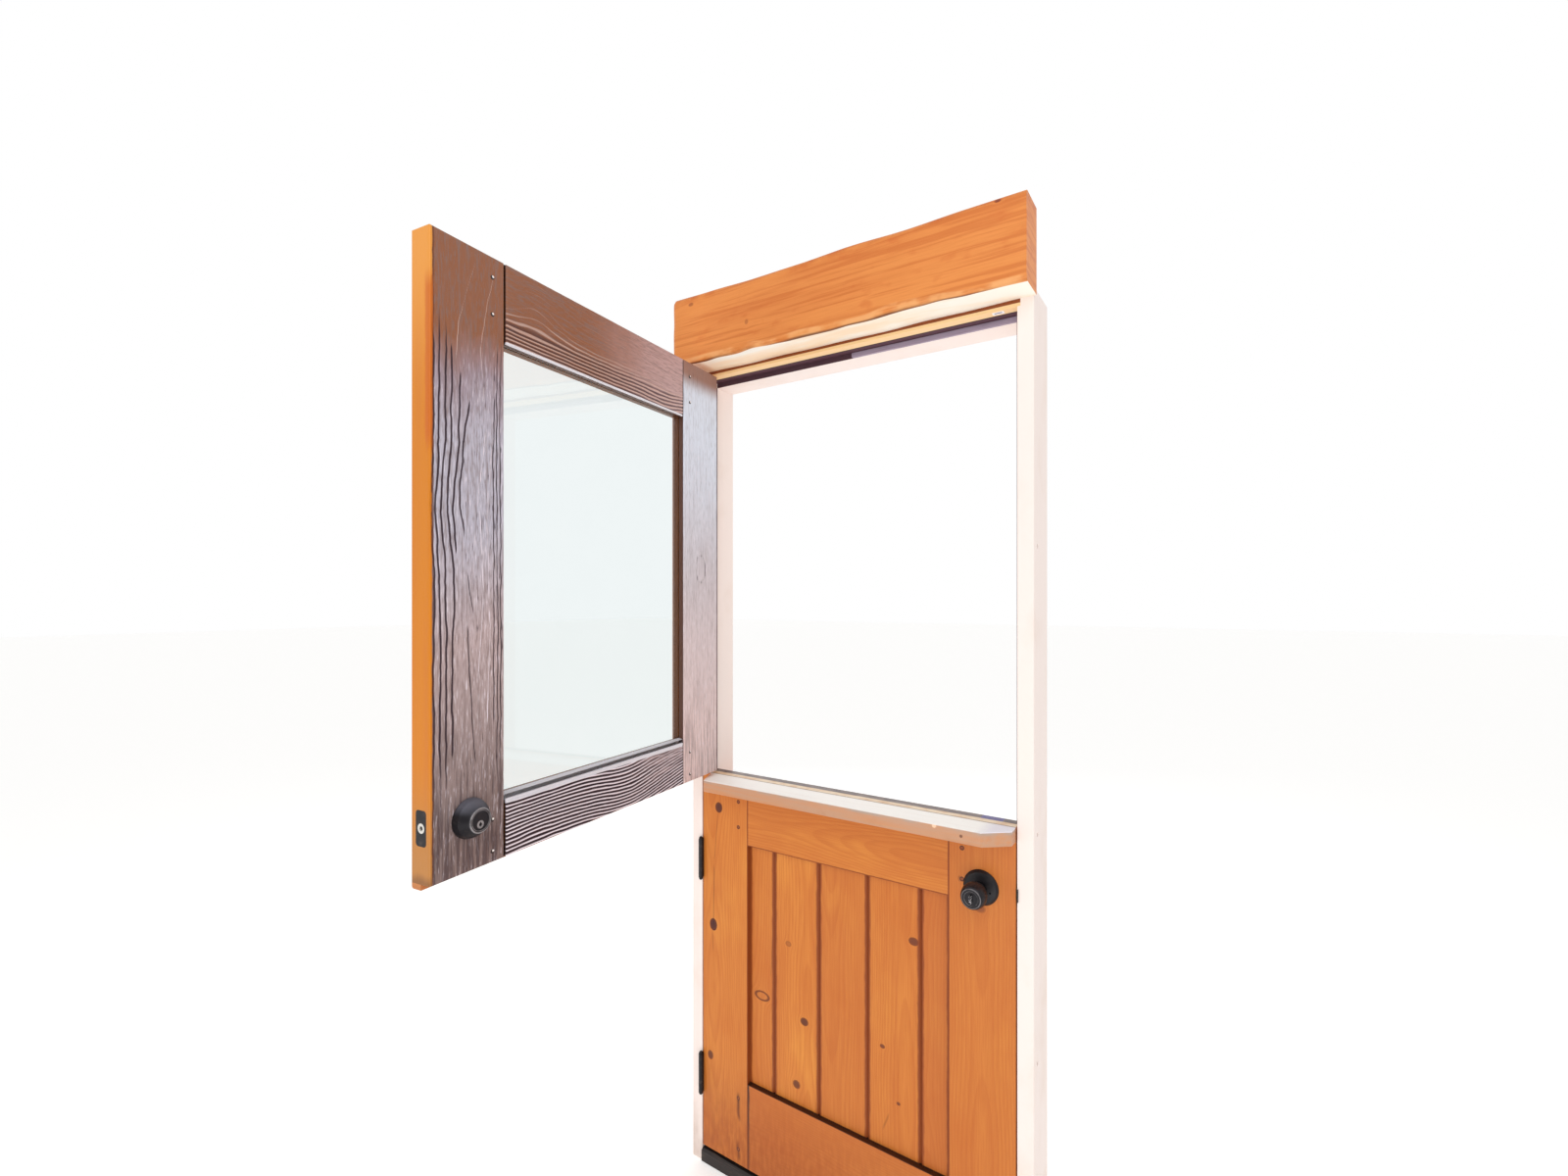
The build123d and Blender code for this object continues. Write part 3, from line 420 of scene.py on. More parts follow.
def dress(finish, *names, arris=0.0):
    """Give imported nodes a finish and, where asked, rounded edges."""
    for name in names:
        node = nodes[name]
        node.data.materials.clear()
        node.data.materials.append(finish.material)
        if arris:
            bevel = node.modifiers.new("Arris", "BEVEL")
            bevel.width = arris
            bevel.segments = 2
            bevel.limit_method = "ANGLE"
            bevel.angle_limit = arris_angle


def piece(name, mesh, body, finish, stands_for):
    """A new object that rides on a body of the model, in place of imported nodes."""
    mesh.materials.append(finish.material)
    made = bpy.data.objects.new(name, mesh)
    bpy.context.scene.collection.objects.link(made)
    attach(made, body)
    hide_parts(*stands_for)


def vertex_rows(shape, layer, rows):
    """Rows of vertices made from rows of (point, value in the layer)."""
    made = []
    for row in rows:
        made.append([shape.verts.new(point) for point, _ in row])
        for vertex, (_, value) in zip(made[-1], row):
            vertex[layer] = value
    return made


def worked_mesh(name, shape):
    """The mesh of a finished shape."""
    mesh = bpy.data.meshes.new(name)
    shape.to_mesh(mesh)
    shape.free()
    return mesh


# Woods
def growth_rings(finish, across, along, depth, pith, seed):
    """Lines of late growth, as where a board is sawn from a trunk: 0 between, 1 on a line."""
    wander = finish.noise(across * 7, depth * 7 + seed, along * 1.1, 2.0) - 0.5
    rise = finish.noise(seed, 0.0, along * 1.6, 1.0) * 0.06 + ring_heart
    sideways = across - pith + wander * 0.05
    radius = (sideways * sideways + rise * rise) ** 0.5
    part = radius / ring_spacing % 1.0
    return finish.step(part, 0.25, 0.85) * finish.step(part, 0.9, 1.0, 1.0, 0.0)


def knot_marks(finish, across, along, knots, seed):
    """Where the grain bends round knots, and the masks of their hearts and rims."""
    bent, hearts, rims = across, 0.0, 0.0
    for knot_across, knot_along, wide, tall, dark in knots:
        aside = (across - knot_across) / wide
        ahead = (along - knot_along) / tall
        reach = aside * aside + ahead * ahead
        bent = bent - aside * wide * 0.8 / (1 + reach * reach * 0.12)
        ragged = reach + (finish.cloud(finish.joined(across, seed, along), 420.0) - 0.5) * 0.5
        hearts = hearts + finish.step(ragged, 0.45, 1.0, dark, 0.0)
        rims = rims + finish.within(ragged, 0.75, 1.15, 0.3) * abs(dark * 2 - 1)
    return bent, hearts, rims


def pine_tone(finish, point, upright, seed, pith, knots=()):
    """The colour of clear-finished pine, its fine relief and the parts of the point."""
    tones = colours()
    x, y, z = finish.split(point)
    along, across = (z, x) if upright else (x, z)
    bent, hearts, rims = knot_marks(finish, across, along, knots, seed)
    rings = growth_rings(finish, bent, along, y, pith, seed)
    broad = finish.noise(bent * 26, y * 10 + seed, along * 2.2, 4.0)
    patch = finish.noise(across * 5, seed, along * 3)
    fibre = finish.noise(bent * 520, y * 500, along * 14)
    tone = finish.tint(tones.pine, tones.pine_ring, broad, 0.35, 0.75, 0.34)
    tone = finish.tint(tone, from_photo(200, 108, 38), patch, 0.5, 0.72, 0.55)
    tone = finish.tint(tone, from_photo(234, 158, 68), patch, 0.46, 0.28, 0.5)
    tone = finish.mix(rings * ring_share, tone, tones.pine_ring)
    tone = finish.tint(tone, tones.pine_ring, fibre, 0.35, 0.75, 0.4)
    if knots:
        tone = finish.mix(rims, tone, from_photo(92, 40, 24))
        tone = finish.mix(hearts, tone, tones.knot)
    return tone, rings * -0.4 - fibre * 0.4, (x, y, z)


def top_strips(finish, tone, parts):
    """The pale and grey strips along the top of the lower leaf, where the leaves meet, with a painted
    shadow line at the gap by the shelf.
    """
    x, y, z = parts
    patch = finish.noise(x * 30, y * 60, 1.0)
    beige = finish.tint(from_photo(236, 212, 180), from_photo(216, 172, 128), patch, 0.4, 0.7)
    grey = finish.tint(from_photo(112, 92, 84), from_photo(84, 64, 62), patch, 0.4, 0.6)
    grey = finish.mix(finish.within(x, 0.330, 0.372, 0.004), grey, from_photo(74, 62, 128))
    strip = finish.tint(beige, grey, y, 0.0200, 0.0225)
    # Painted shadow: a dark line in the gap by the shelf
    strip = finish.mix(finish.within(y, -0.001, 0.0016, 0.0008) * 0.9, strip, from_photo(96, 62, 44))
    return finish.tint(tone, strip, z, lower_high - 0.0012, lower_high - 0.0004)


def pine(name, upright, seed, pith, knots=(), edges=(), strokes=(), shade=0.0, topped=False):
    """Clear-finished pine with dark edges and drawn strokes. The dark edges are partly dark joints and
    partly painted shade.

    A knot is (across, along, width, height, darkness), an edge (part of the point, place,
    reach, strength) and a stroke (start, end, width, strength).
    """
    tones = colours()
    finish = Finish(name, roughness=0.42, coat=0.06, shine=0.22)
    tone, relief, parts = pine_tone(finish, finish.place(), upright, seed, pith, knots)
    if shade:
        tone = finish.mix(shade, tone, from_photo(186, 98, 46))
    x, _, z = parts
    for start, end, width, strength in strokes:
        tone = finish.mix(finish.stroke(x, z, start, end, width) * strength, tone, tones.grime_and_shade)
    rough = finish.noise(x * 90, seed, z * 25)
    # Dark edges: the joints' own colour, a darker corner, and painted shade along the top rail's lower
    # edge and in the groove above the bottom rail
    for part, place, reach, strength in edges:
        distance = abs(parts[part] - place) - (rough - 0.35) * reach * 0.7
        nearness = finish.step(distance, reach * 0.35, reach, strength, 0.0)
        tone = finish.mix(nearness, tone, tones.grime_and_shade if strength == 1.0 else tones.pine_joint_and_shadow)
    low = finish.step(z, lower_low, lower_low + 0.30, 0.75, 0.0)
    foot = low * finish.step(rough, 0.3, 0.65, 0.5, 1.0)
    tone = finish.mix(foot, tone, from_photo(160, 78, 26))
    if topped:
        tone = top_strips(finish, tone, parts)
    return finish.coloured(tone, relief, 0.25, 0.0006)


def weathered_pine(name, seed, pale=0.0, brown=0.0, glow=0.0):
    """Pine with a dark stain on its outer face and clear pine elsewhere. A painted reflection of the sky
    lies over the stain, lilac in the middle and rosy lower down.

    Pale lays a paler, bluer painted reflection over the whole board, brown puts more brown stain on the
    lock end, and the last share lays a pale painted reflection on the hinge end.
    """
    tones = colours()
    finish = Finish(name, roughness=0.46, coat=0.05, shine=0.3)
    upright = "stile" in name
    point = finish.place(opened=True)
    tone, relief, (x, y, z) = pine_tone(finish, point, upright, seed, lock_edge - 0.07)
    smudge = finish.noise(x * 60, y * 60, z * 3, 4.0)
    bare = finish.tint(tones.edge_pine, from_photo(196, 110, 36), smudge, 0.4, 0.8, 0.5)
    top = finish.step(z, upper_high - 0.30, upper_high - 0.02)
    bare = finish.mix(top * 0.7, bare, from_photo(232, 158, 70))
    bottom = finish.step(z, upper_low + 0.20, upper_low + 0.02)
    bare = finish.mix(bottom * 0.85, bare, from_photo(178, 122, 62))
    corner = finish.step(z + smudge * 0.02, upper_low + 0.030, upper_low + 0.012)
    bare = finish.mix(corner * 0.6, bare, from_photo(104, 64, 36))
    on_edge = finish.step(x, lock_edge - 0.0060, lock_edge - 0.0052)
    tone = finish.mix(on_edge, tone, bare)

    groove = finish.add("ShaderNodeAttribute", {"attribute_name": "groove"}, {}, output="Fac")
    drift = (finish.noise(x * 12, seed, z * 6) - 0.5) * 0.14
    share = (z + drift - upper_low) / (upper_high - upper_low)
    # Painted reflection of the sky: lilac and rosy over the middle, the brown stain at the top and the
    # foot
    stops = (
        (0.0, tones.stain_foot),
        (0.07, tones.stain_foot),
        (0.20, from_photo(158, 138, 136)),
        (0.36, tones.rosy_sheen),
        (0.55, tones.lilac_sheen),
        (0.70, tones.lilac_sheen),
        (0.79, from_photo(160, 142, 152)),
        (0.86, tones.stain_brown),
        (1.0, tones.stain_brown),
    )
    stain = finish.add("ShaderNodeValToRGB", {"stops": stops}, {"Fac": share})
    if brown:
        stain = finish.tint(stain, tones.stain_brown, x + drift, 0.02, 0.24, brown)
    # Painted reflection: a pale sheen towards the hinge end
    if glow:
        hinge_end = finish.step(x + drift, 0.10, -0.24) * glow
        stain = finish.mix(hinge_end, stain, from_photo(224, 196, 200))
    # Painted reflection: the whole board paler and bluer under the sky's sheen
    if pale:
        stops = (
            (0.12, from_photo(230, 201, 197)),
            (0.50, from_photo(206, 195, 199)),
            (0.85, from_photo(224, 232, 246)),
        )
        sheen_ramp = finish.add("ShaderNodeValToRGB", {"stops": stops}, {"Fac": share})
        below_top = finish.step(z, upper_high - 0.025, upper_high - 0.075, 0.1, pale)
        stain = finish.mix(below_top, stain, sheen_ramp)
    speck = finish.noise(x * 400, y * 200 + seed, z * 50)
    streak = finish.noise(x * 190, seed, z * 9, 4.0)
    if not upright:
        speck = finish.noise(x * 50, y * 200 + seed, z * 400)
        streak = finish.noise(x * 9, seed, z * 190, 4.0)
    contrast = 1.0 - pale * 0.6
    stain = finish.tint(stain, tones.stain_foot, speck, 0.5, 0.66, 0.5 * contrast)
    # Painted highlights: light specks on the grain, fewer towards the top
    paler = finish.step(share, 0.74, 0.88, 0.5, 0.03)
    stain = finish.mix(finish.step(speck, 0.30, 0.45, 1.0, 0.0) * paler, stain, tones.ridge_highlight)
    stain = finish.tint(stain, tones.stain_foot, streak, 0.48, 0.66, 0.42 * contrast)
    foot = finish.step(streak, 0.44, 0.56) * finish.step(share, 0.30, 0.04)
    stain = finish.mix(foot * 0.6 * contrast, stain, tones.stain_deep_and_shade)
    # Stain in the eroded grain, and painted shade on the walls of the gaps round the board
    stain = finish.tint(stain, tones.stain_deep_and_shade, groove, 0.22, 0.65, 0.95)
    # Painted highlights on the ridges, weaker towards the brown top
    sheltered = finish.step(share, 0.72, 0.9, 1.0, 0.55)
    ridge_highlight_tone = finish.tint(tones.ridge_highlight, from_photo(216, 184, 172), share, 0.7, 0.9)
    stain = finish.mix(finish.step(groove, -0.1, -0.5, 0.0, 1.0) * sheltered, stain, ridge_highlight_tone)

    ragged = finish.noise(seed, y * 90, z * 32, 5.0) * 0.0050 - 0.0012
    margin = finish.step(x, lock_edge - 0.0032 - ragged, lock_edge - 0.0022 - ragged, 1.0, 0.0)
    edging = finish.within(x, lock_edge - 0.0052 - ragged, lock_edge - 0.0030 - ragged, 0.0006)
    on_face = finish.step(y, leaf_face - 0.0046, leaf_face - 0.0040)
    aside = abs(x - (hinge_side + lock_side) / 2)
    in_sight = finish.step(aside, half_sight, half_sight + 0.0004, 1.0, 0.0)
    in_reveal = in_sight * finish.step(y, glass_face - 0.0015, glass_face - 0.0005)
    tone = finish.mix(in_reveal, tone, tones.reveal)
    # Painted light: a pale sheen on the sill's ledge and a lit strip along the drip under the top rail
    ledge = finish.within(z, sill_high - 0.0175, sill_high + 0.001, 0.0004)
    drip = finish.within(z, top_rail_low - 0.001, top_rail_low + 0.0032, 0.0004)
    drip = drip * finish.step(y, leaf_face - 0.0055, leaf_face - 0.0040)
    wear_and_sheen = (ledge + drip) * (0.0 if upright else 1.0)
    tone = finish.mix(on_face * margin, tone, stain)
    tone = finish.mix(on_face * edging * 0.75, tone, from_photo(92, 44, 24))
    tone = finish.mix(wear_and_sheen * in_reveal, tone, from_photo(226, 222, 228))
    run = finish.within(z, upper_high - 0.32, upper_high - 0.10, 0.04)
    amber = on_edge * run * finish.step(y, leaf_face - 0.011 - ragged * 3, leaf_face - 0.009)
    tone = finish.mix(amber * 0.8, tone, from_photo(196, 96, 12))
    finish.set("Roughness", finish.step(groove, 0.0, 0.7, 0.42, 0.75))
    return finish.coloured(tone, speck * -0.9 + relief * 0.3, 0.5, 0.0006)


def lintel_pine():
    """Hewn pine with long streaks, and painted sunlight making the underside pale."""
    tones = colours()
    finish = Finish("hewn_pine", roughness=0.5, coat=0.08, shine=0.3)
    x, y, z = finish.split(finish.place())
    knots = (
        (2.2430, -0.3800, 0.005, 0.009, 0.6),
        (2.1600, -0.2050, 0.007, 0.006, 0.45),
        (2.2570, 0.3930, 0.004, 0.007, 1.0),
    )
    bent, hearts, rims = knot_marks(finish, z, x, knots, 3.0)
    broad = finish.noise(x * 2.2, y * 10, bent * 24, 6.0, distortion=0.3)
    line = finish.noise(x * 3.0, y * 8 + 3, bent * 105, 4.0, distortion=0.2)
    blot = finish.noise(x * 14, y * 40 + 4, z * 30)
    fibre = finish.noise(x * 16, y * 400, bent * 520)
    tone = finish.tint(tones.lintel, tones.lintel_dark, broad, 0.36, 0.78, 0.36)
    tone = finish.tint(tone, tones.lintel_dark, line, 0.48, 0.62, 0.5)
    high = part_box("lintel_beam")[1].z
    edge = finish.step(z, high - 0.03, high)
    tone = finish.mix(edge * finish.step(blot, 0.4, 0.7), tone, tones.lintel_dark)
    tone = finish.tint(tone, from_photo(206, 104, 44), blot, 0.56, 0.72, 0.45)
    tone = finish.tint(tone, tones.lintel_dark, fibre, 0.4, 0.8, 0.25)
    tone = finish.mix(rims * 0.5, tone, tones.lintel_dark)
    tone = finish.mix(hearts, tone, from_photo(138, 64, 34))
    zone = finish.add("ShaderNodeAttribute", {"attribute_name": "zone"}, {}, output="Fac")
    above = finish.step(zone, 0.0, 0.5) * finish.step(blot, 0.35, 0.6)
    tone = finish.mix(above * 0.8, tone, from_photo(242, 176, 112))
    # Painted light: the underside made pale as if sunlit
    pale = finish.tint(tones.lintel_underside_light, from_photo(253, 226, 194), broad, 0.48, 0.66)
    tone = finish.tint(tone, pale, zone, 1.25, 1.5)
    crack = finish.within(zone, 1.1, 1.3, 0.15) * finish.step(broad, 0.38, 0.55)
    tone = finish.mix(crack * 0.9, tone, from_photo(96, 58, 38))
    return finish.coloured(tone, line * -0.4 - fibre * 0.5, 0.35, 0.001)


def shelf_pine():
    """Pine whose top is painted near white as if in sunlight, with painted shade towards the lock end.
    """
    tones = colours()
    finish = Finish("bleached_pine", roughness=0.5, coat=0.08, shine=0.3)
    x, y, z = finish.split(finish.place())
    grain = finish.noise(x * 6, y * 120, z * 120)
    stain = finish.noise(x * 16, y * 20, z * 20)
    front = finish.tint(tones.shelf_front, from_photo(214, 136, 74), grain, 0.35, 0.8, 0.5)
    front = finish.tint(front, from_photo(180, 116, 70), stain, 0.5, 0.75, 0.35)
    knot = finish.radius(x, z, (0.318, 1.022))
    front = finish.mix(finish.step(knot, 0.0022, 0.0042, 0.75, 0.0), front, tones.knot)
    greyed = finish.step(z, lower_high - 0.009, lower_high - 0.003)
    front = finish.mix(greyed * finish.step(stain, 0.3, 0.6), front, from_photo(178, 156, 142))
    chip = finish.radius(x, z, (0.262, lower_high - 0.003))
    front = finish.mix(finish.step(chip, 0.003, 0.006, 0.9, 0.0), front, from_photo(244, 206, 172))
    shade = finish.step(x, lock_edge - 0.07, lock_edge - 0.03)
    # Painted light on the top, with painted shade towards the lock end
    top = finish.mix(shade * 0.8, tones.shelf_top_sunlit, from_photo(222, 216, 228))
    top = finish.tint(top, tones.shelf_front, grain, 0.5, 0.9, 0.2)
    top = finish.tint(top, from_photo(120, 84, 60), y, -0.0022, -0.0008, 0.8)
    on_top = finish.step(z, lower_high - 0.0022, lower_high - 0.0006)
    return finish.coloured(finish.mix(on_top, front, top), grain, 0.2, 0.0006)


# Paint, metal, rubber and glass
def cream_paint(name, banded=False):
    """Brushed cream paint, with a dark band on the face towards the leaf where asked."""
    finish = Finish(name, roughness=0.55, shine=0.4)
    x, y, z = finish.split(finish.place())
    brush = finish.noise(x * 300, y * 300, z * 12)
    dirt = finish.noise(x * 8, y * 8, z * 5, 4.0)
    tone = finish.tint(colours().cream, from_photo(226, 198, 176), dirt, 0.5, 0.8, 0.35)
    low = finish.step(z, 0.02, 0.22, 0.5, 0.0) * finish.step(dirt, 0.35, 0.6)
    tone = finish.mix(low, tone, from_photo(168, 140, 118))
    if banded:
        tone = finish.tint(tone, colours().seal_dark, y, 0.0486, 0.0481)
    return finish.coloured(tone, brush, 0.25, 0.0004)


def black_metal(
    name, rub=0.12, rings=(), opened=False, centre=(0.0, 0.0), front=None, sheen=0.04, shine=0.35
):
    """Dark oiled metal, rubbed lighter in patches, with rings about a centre that are partly rubbed and
    partly painted glints.

    A ring is (inner, outer, strength). The front is (direction, place) of the face that
    carries the rings, the sheen the strength of its painted reflection, brightest at the top,
    and the shine the metal's gloss.
    """
    tones = colours()
    finish = Finish(name, metallic=0.3, roughness=0.4, coat=0.06, shine=shine)
    point = finish.place(opened)
    x, y, z = finish.split(point)
    patch = finish.cloud(point, 60.0, detail=4.0)
    speck = finish.cloud(point, 900.0, detail=2.0)
    tone = finish.tint(tones.black_metal, from_photo(150, 128, 118), patch, 0.5, 0.8, rub)
    if rings:
        away = finish.radius(x, z, centre)
        ahead = finish.step(y * front[0], front[1] - 0.001, front[1])
        # Painted reflection: the top of the face lighter, and the whole face a lighter sheen
        upper = finish.step(z, centre[1] + 0.010, centre[1] + 0.030, 0.0, sheen * 3)
        tone = finish.mix(upper, tone, from_photo(150, 150, 164))
        tone = finish.mix(ahead * sheen, tone, from_photo(84, 81, 85))
        patchy = finish.step(patch, 0.3, 0.55, 0.35, 1.0)
        # Rings rubbed lighter, partly painted glints
        for inner, outer, strength in rings:
            rim = finish.within(away, inner, outer, 0.0004) * ahead * patchy
            tone = finish.mix(rim * strength, tone, tones.rubbed_metal_and_glints)
    finish.set("Roughness", finish.step(patch, 0.3, 0.7, 0.36, 0.52))
    return finish.coloured(tone, speck, 0.12, 0.0002)


def brushed_steel(name, core=0.0, centre=(0.0, 0.0), opened=False):
    """Bright brushed steel, with painted shade in the hollow at the middle of a bolt's end."""
    finish = Finish(name, metallic=0.6, roughness=0.3)
    x, y, z = finish.split(finish.place(opened))
    brush = finish.noise(x * 900, y * 60, z * 900, 2.0)
    tone = finish.mix(brush * 0.3, colours().steel, from_photo(190, 186, 180))
    # Painted shade: the hollow in the bolt's end drawn dark
    if core:
        away = finish.radius(y, z, centre)
        tone = finish.mix(finish.step(away, core * 0.75, core, 1.0, 0.0), tone, from_photo(24, 18, 16))
    finish.set("Base Color", tone)
    finish.set("Roughness", finish.step(brush, 0.2, 0.8, 0.25, 0.42))
    return finish


def rubber(name, tone, other):
    """Matt rubber with dusty streaks."""
    finish = Finish(name, roughness=0.7, shine=0.3)
    x, y, z = finish.split(finish.place())
    dust = finish.noise(x * 12, y * 140, z * 140)
    return finish.coloured(finish.tint(tone, other, dust, 0.45, 0.85), dust, 0.15, 0.0004)


def threshold_metal():
    """Dark threshold, scuffed along the middle."""
    finish = Finish("threshold_metal", metallic=0.3, roughness=0.5)
    x, y, z = finish.split(finish.place())
    scuff = finish.noise(x * 10, y * 220, z * 220, 4.0)
    tone = finish.tint(colours().threshold, from_photo(150, 132, 118), scuff, 0.52, 0.8, 0.5)
    finish.set("Roughness", finish.step(scuff, 0.3, 0.7, 0.4, 0.65))
    return finish.coloured(tone, scuff, 0.2, 0.0005)


def clear_glass():
    """A clear pane with a faint film of dust."""
    finish = Finish("clear_glass", roughness=0.02)
    finish.set("Transmission Weight", 1.0)
    finish.set("IOR", 1.5)
    film = finish.cloud(finish.place(), 9.0, detail=3.0)
    finish.set("Base Color", finish.mix(film * 0.15, colours().glass, from_photo(222, 232, 234)))
    finish.set("Roughness", finish.step(film, 0.4, 0.9, 0.01, 0.05))
    return finish


# Relief of weathered boards, whose grain is worked out in millimetres
def scatter(x, y, seed):
    """Smooth noise from 0 to 1 on a grid of unit cells."""
    column, row = np.floor(x), np.floor(y)
    right, up = x - column, y - row
    right, up = right * right * (3 - 2 * right), up * up * (3 - 2 * up)

    def corner(i, j):
        mixed = np.sin((column + i) * 127.1 + (row + j) * 311.7 + seed * 74.7) * 43758.5453
        return mixed - np.floor(mixed)

    low = corner(0, 0) * (1 - right) + corner(1, 0) * right
    high = corner(0, 1) * (1 - right) + corner(1, 1) * right
    return low * (1 - up) + high * up


def line_noise(along, length, seed):
    """Smooth noise from 0 to 1 along a line."""
    return scatter(along / length, along * 0, seed)


def line_mask(across, place, width):
    """A soft line, 1 on a place and 0 beyond its width."""
    return np.exp(-(((across - place) / width) ** 2))


def drawn_lines(across, along, lines, seed):
    """Eroded lines drawn through (along, across) points, each with a width and a depth."""
    depth = np.zeros_like(across)
    for number, (points, width, strength) in enumerate(lines):
        places, middles = zip(*sorted(points))
        middle = np.interp(along, places, middles)
        middle = middle + 2.2 * (line_noise(along, 30, seed + number) - 0.5)
        middle = middle + 1.0 * (line_noise(along, 9, seed + 20 + number) - 0.5)
        ends = np.clip((along - places[0]) / 20, 0, 1) * np.clip((places[-1] - along) / 20, 0, 1)
        varied = strength * (0.65 + 0.5 * line_noise(along, 55, seed + 40 + number))
        depth = np.maximum(depth, line_mask(across, middle, width) * ends * varied)
    return depth


def ridged_grain(across, along, bend, spacing, seed, share):
    """Grooves and ridges of a rail: 1 in a groove, below 0 on a ridge."""
    wander = 7 * (scatter(along / 150, across / 60, seed) - 0.5)
    wander += 1.6 * (scatter(along / 28, across / 9, seed + 1) - 0.5)
    ring = (across + bend + wander) / spacing
    number = np.floor(ring)
    part = ring - number
    strength = 0.55 + 0.6 * scatter(along / 110, number * 3.1, seed + 3)
    wave = np.cos(2 * math.pi * part) * 1.7 + (0.5 - share) * 3.4
    return np.clip(wave, -1, 1) * np.clip(strength, 0, 1)


def pitted(across, along, seed, reach=1.0):
    """Small pits along the grain."""
    fine = np.clip(scatter(across / 1.4, along / 30, seed) - 0.35, 0, 1) * 0.4
    pits = np.clip((scatter(across / 1.6, along / 17, seed + 5) - 0.68) * 3.2, 0, 1)
    return fine + pits * 0.45 * reach


def grid_places(low, high, step, ease):
    """Places of a grid's lines between two ends, closer together at the ends."""
    inner = np.linspace(low + ease, high - ease, max(2, int((high - low) / step)))
    return np.concatenate(([low, low + ease * 0.35], inner, [high - ease * 0.35, high]))


def weathered_board(node, finish, x_range, z_range, steps, depth_of, ease_low=None):
    """A board of the upper leaf whose outer layer has the eroded grain in relief."""
    # The walls round the relief count as deep grooves, so they are painted dark as shade in the gaps
    thinnest, gap_wall_shade = 0.0002, 0.9
    size = sizes()
    base = leaf_face - size.weathered_layer
    shape = bmesh.new()
    shape.from_mesh(nodes[node].data)
    outwards = opening.to_3x3() @ Vector((0, 1, 0))
    cut_point = opening @ Vector((hinge_edge, base, 0))
    geometry = shape.verts[:] + shape.edges[:] + shape.faces[:]
    bmesh.ops.bisect_plane(
        shape, geom=geometry, plane_co=cut_point, plane_no=outwards, clear_outer=True
    )
    depth_layer = shape.verts.layers.float.new("groove")
    ease = size.board_arris * 1.6
    xs = grid_places(x_range[0], x_range[1], steps[0], ease)
    zs = grid_places(z_range[0], z_range[1], steps[1], ease)
    across, up = np.meshgrid(xs, zs, indexing="ij")
    depth = depth_of((across - hinge_edge) * to_mm, up * to_mm)
    from_side = np.minimum(across - xs[0], xs[-1] - across)
    from_end = np.minimum(up - zs[0], zs[-1] - up)
    rounding = np.clip(1 - np.minimum(from_side, from_end) / ease, 0, 1) ** 2 * ease
    if ease_low:
        rounding = np.maximum(rounding, np.clip(ease_low - (up - zs[0]), 0, ease_low))
    below = size.ridge_height + np.clip(depth, 0, 1) * size.groove_depth
    outer = leaf_face - rounding - below + np.clip(-depth, 0, 1) * size.ridge_height
    outer = np.maximum(outer, base + thinnest)
    columns = []
    for x, ys, sunk in zip(xs, outer, depth):
        columns.append([(opening @ Vector((x, y, z)), value) for y, z, value in zip(ys, zs, sunk)])
    rows = vertex_rows(shape, depth_layer, columns)
    for first, second in zip(rows, rows[1:]):
        for j in range(len(zs) - 1):
            corners = (first[j], first[j + 1], second[j + 1], second[j])
            shape.faces.new(corners).smooth = True
    around = [row[0] for row in rows] + rows[-1][1:]
    around += [row[-1] for row in rows[-2::-1]] + rows[0][-2:0:-1]
    feet = []
    for vertex in around:
        closed = closing @ vertex.co
        foot = shape.verts.new(opening @ Vector((closed.x, base, closed.z)))
        foot[depth_layer] = gap_wall_shade
        feet.append(foot)
    for number in range(len(around)):
        following = (number + 1) % len(around)
        shape.faces.new((around[number], around[following], feet[following], feet[number]))
    mesh = worked_mesh(node + "_weathered", shape)
    piece(node + "_weathered", mesh, "upper_leaf", finish, (node,))


# The upper leaf in millimetres, and the lines on its lock stile, whose points are
# (share of the height, distance from the free edge)
leaf_width = (lock_edge - hinge_edge) * to_mm
leaf_low, leaf_high = upper_low * to_mm, upper_high * to_mm
bends = (0.36, 0.43, 0.48, 0.51, 0.57, 0.68)
bowed_lines = [
    (foot, *zip(bends, insets), head)
    for foot, insets, head in (
        ((0.0, 6), (7, 9, 7, 4.5, 3, 6), (0.93, 6)),
        ((0.0, 17), (18, 18, 16, 14, 9.5, 16), (0.92, 16)),
        ((0.04, 28), (29, 28, 27, 25, 18.5, 27), (0.88, 28)),
        ((0.18, 39), (40, 43, 42, 38, 30, 37), (0.84, 38)),
    )
]
bowed_lines += [
    ((0.50, 47), (0.57, 40), (0.63, 46), (0.68, 51), (0.80, 54)),
    ((0.53, 64), (0.58, 52), (0.64, 56), (0.68, 60), (0.76, 72)),
]
straight_lines = (
    ((0.06, 132), (0.4, 133), (0.72, 131), (0.90, 133)),
    ((0.10, 125), (0.38, 127), (0.70, 124), (0.86, 126)),
    ((0.22, 118), (0.44, 119), (0.66, 117), (0.78, 120)),
)
cracks = (
    ((0.40, 79), (0.43, 75), (0.485, 66)),
    ((0.16, 84), (0.24, 76), (0.33, 70), (0.40, 66)),
    ((0.11, 58), (0.17, 71)),
)
pale_lines = (
    ((0.80, 44), (0.87, 50), (0.93, 66), (0.985, 84)),
    ((0.74, 100), (0.84, 92), (0.92, 104), (0.98, 122)),
    ((0.30, 86), (0.45, 98), (0.60, 88), (0.72, 104)),
    ((0.22, 104), (0.40, 110), (0.58, 104), (0.70, 116)),
)


def from_edge(lines, width, strength):
    """Lines of the lock stile as (along, across) points, with one width and depth."""
    span = (upper_high - upper_low) * to_mm
    return [
        ([(leaf_low + share * span, leaf_width - inset) for share, inset in points], width, strength)
        for points in lines
    ]


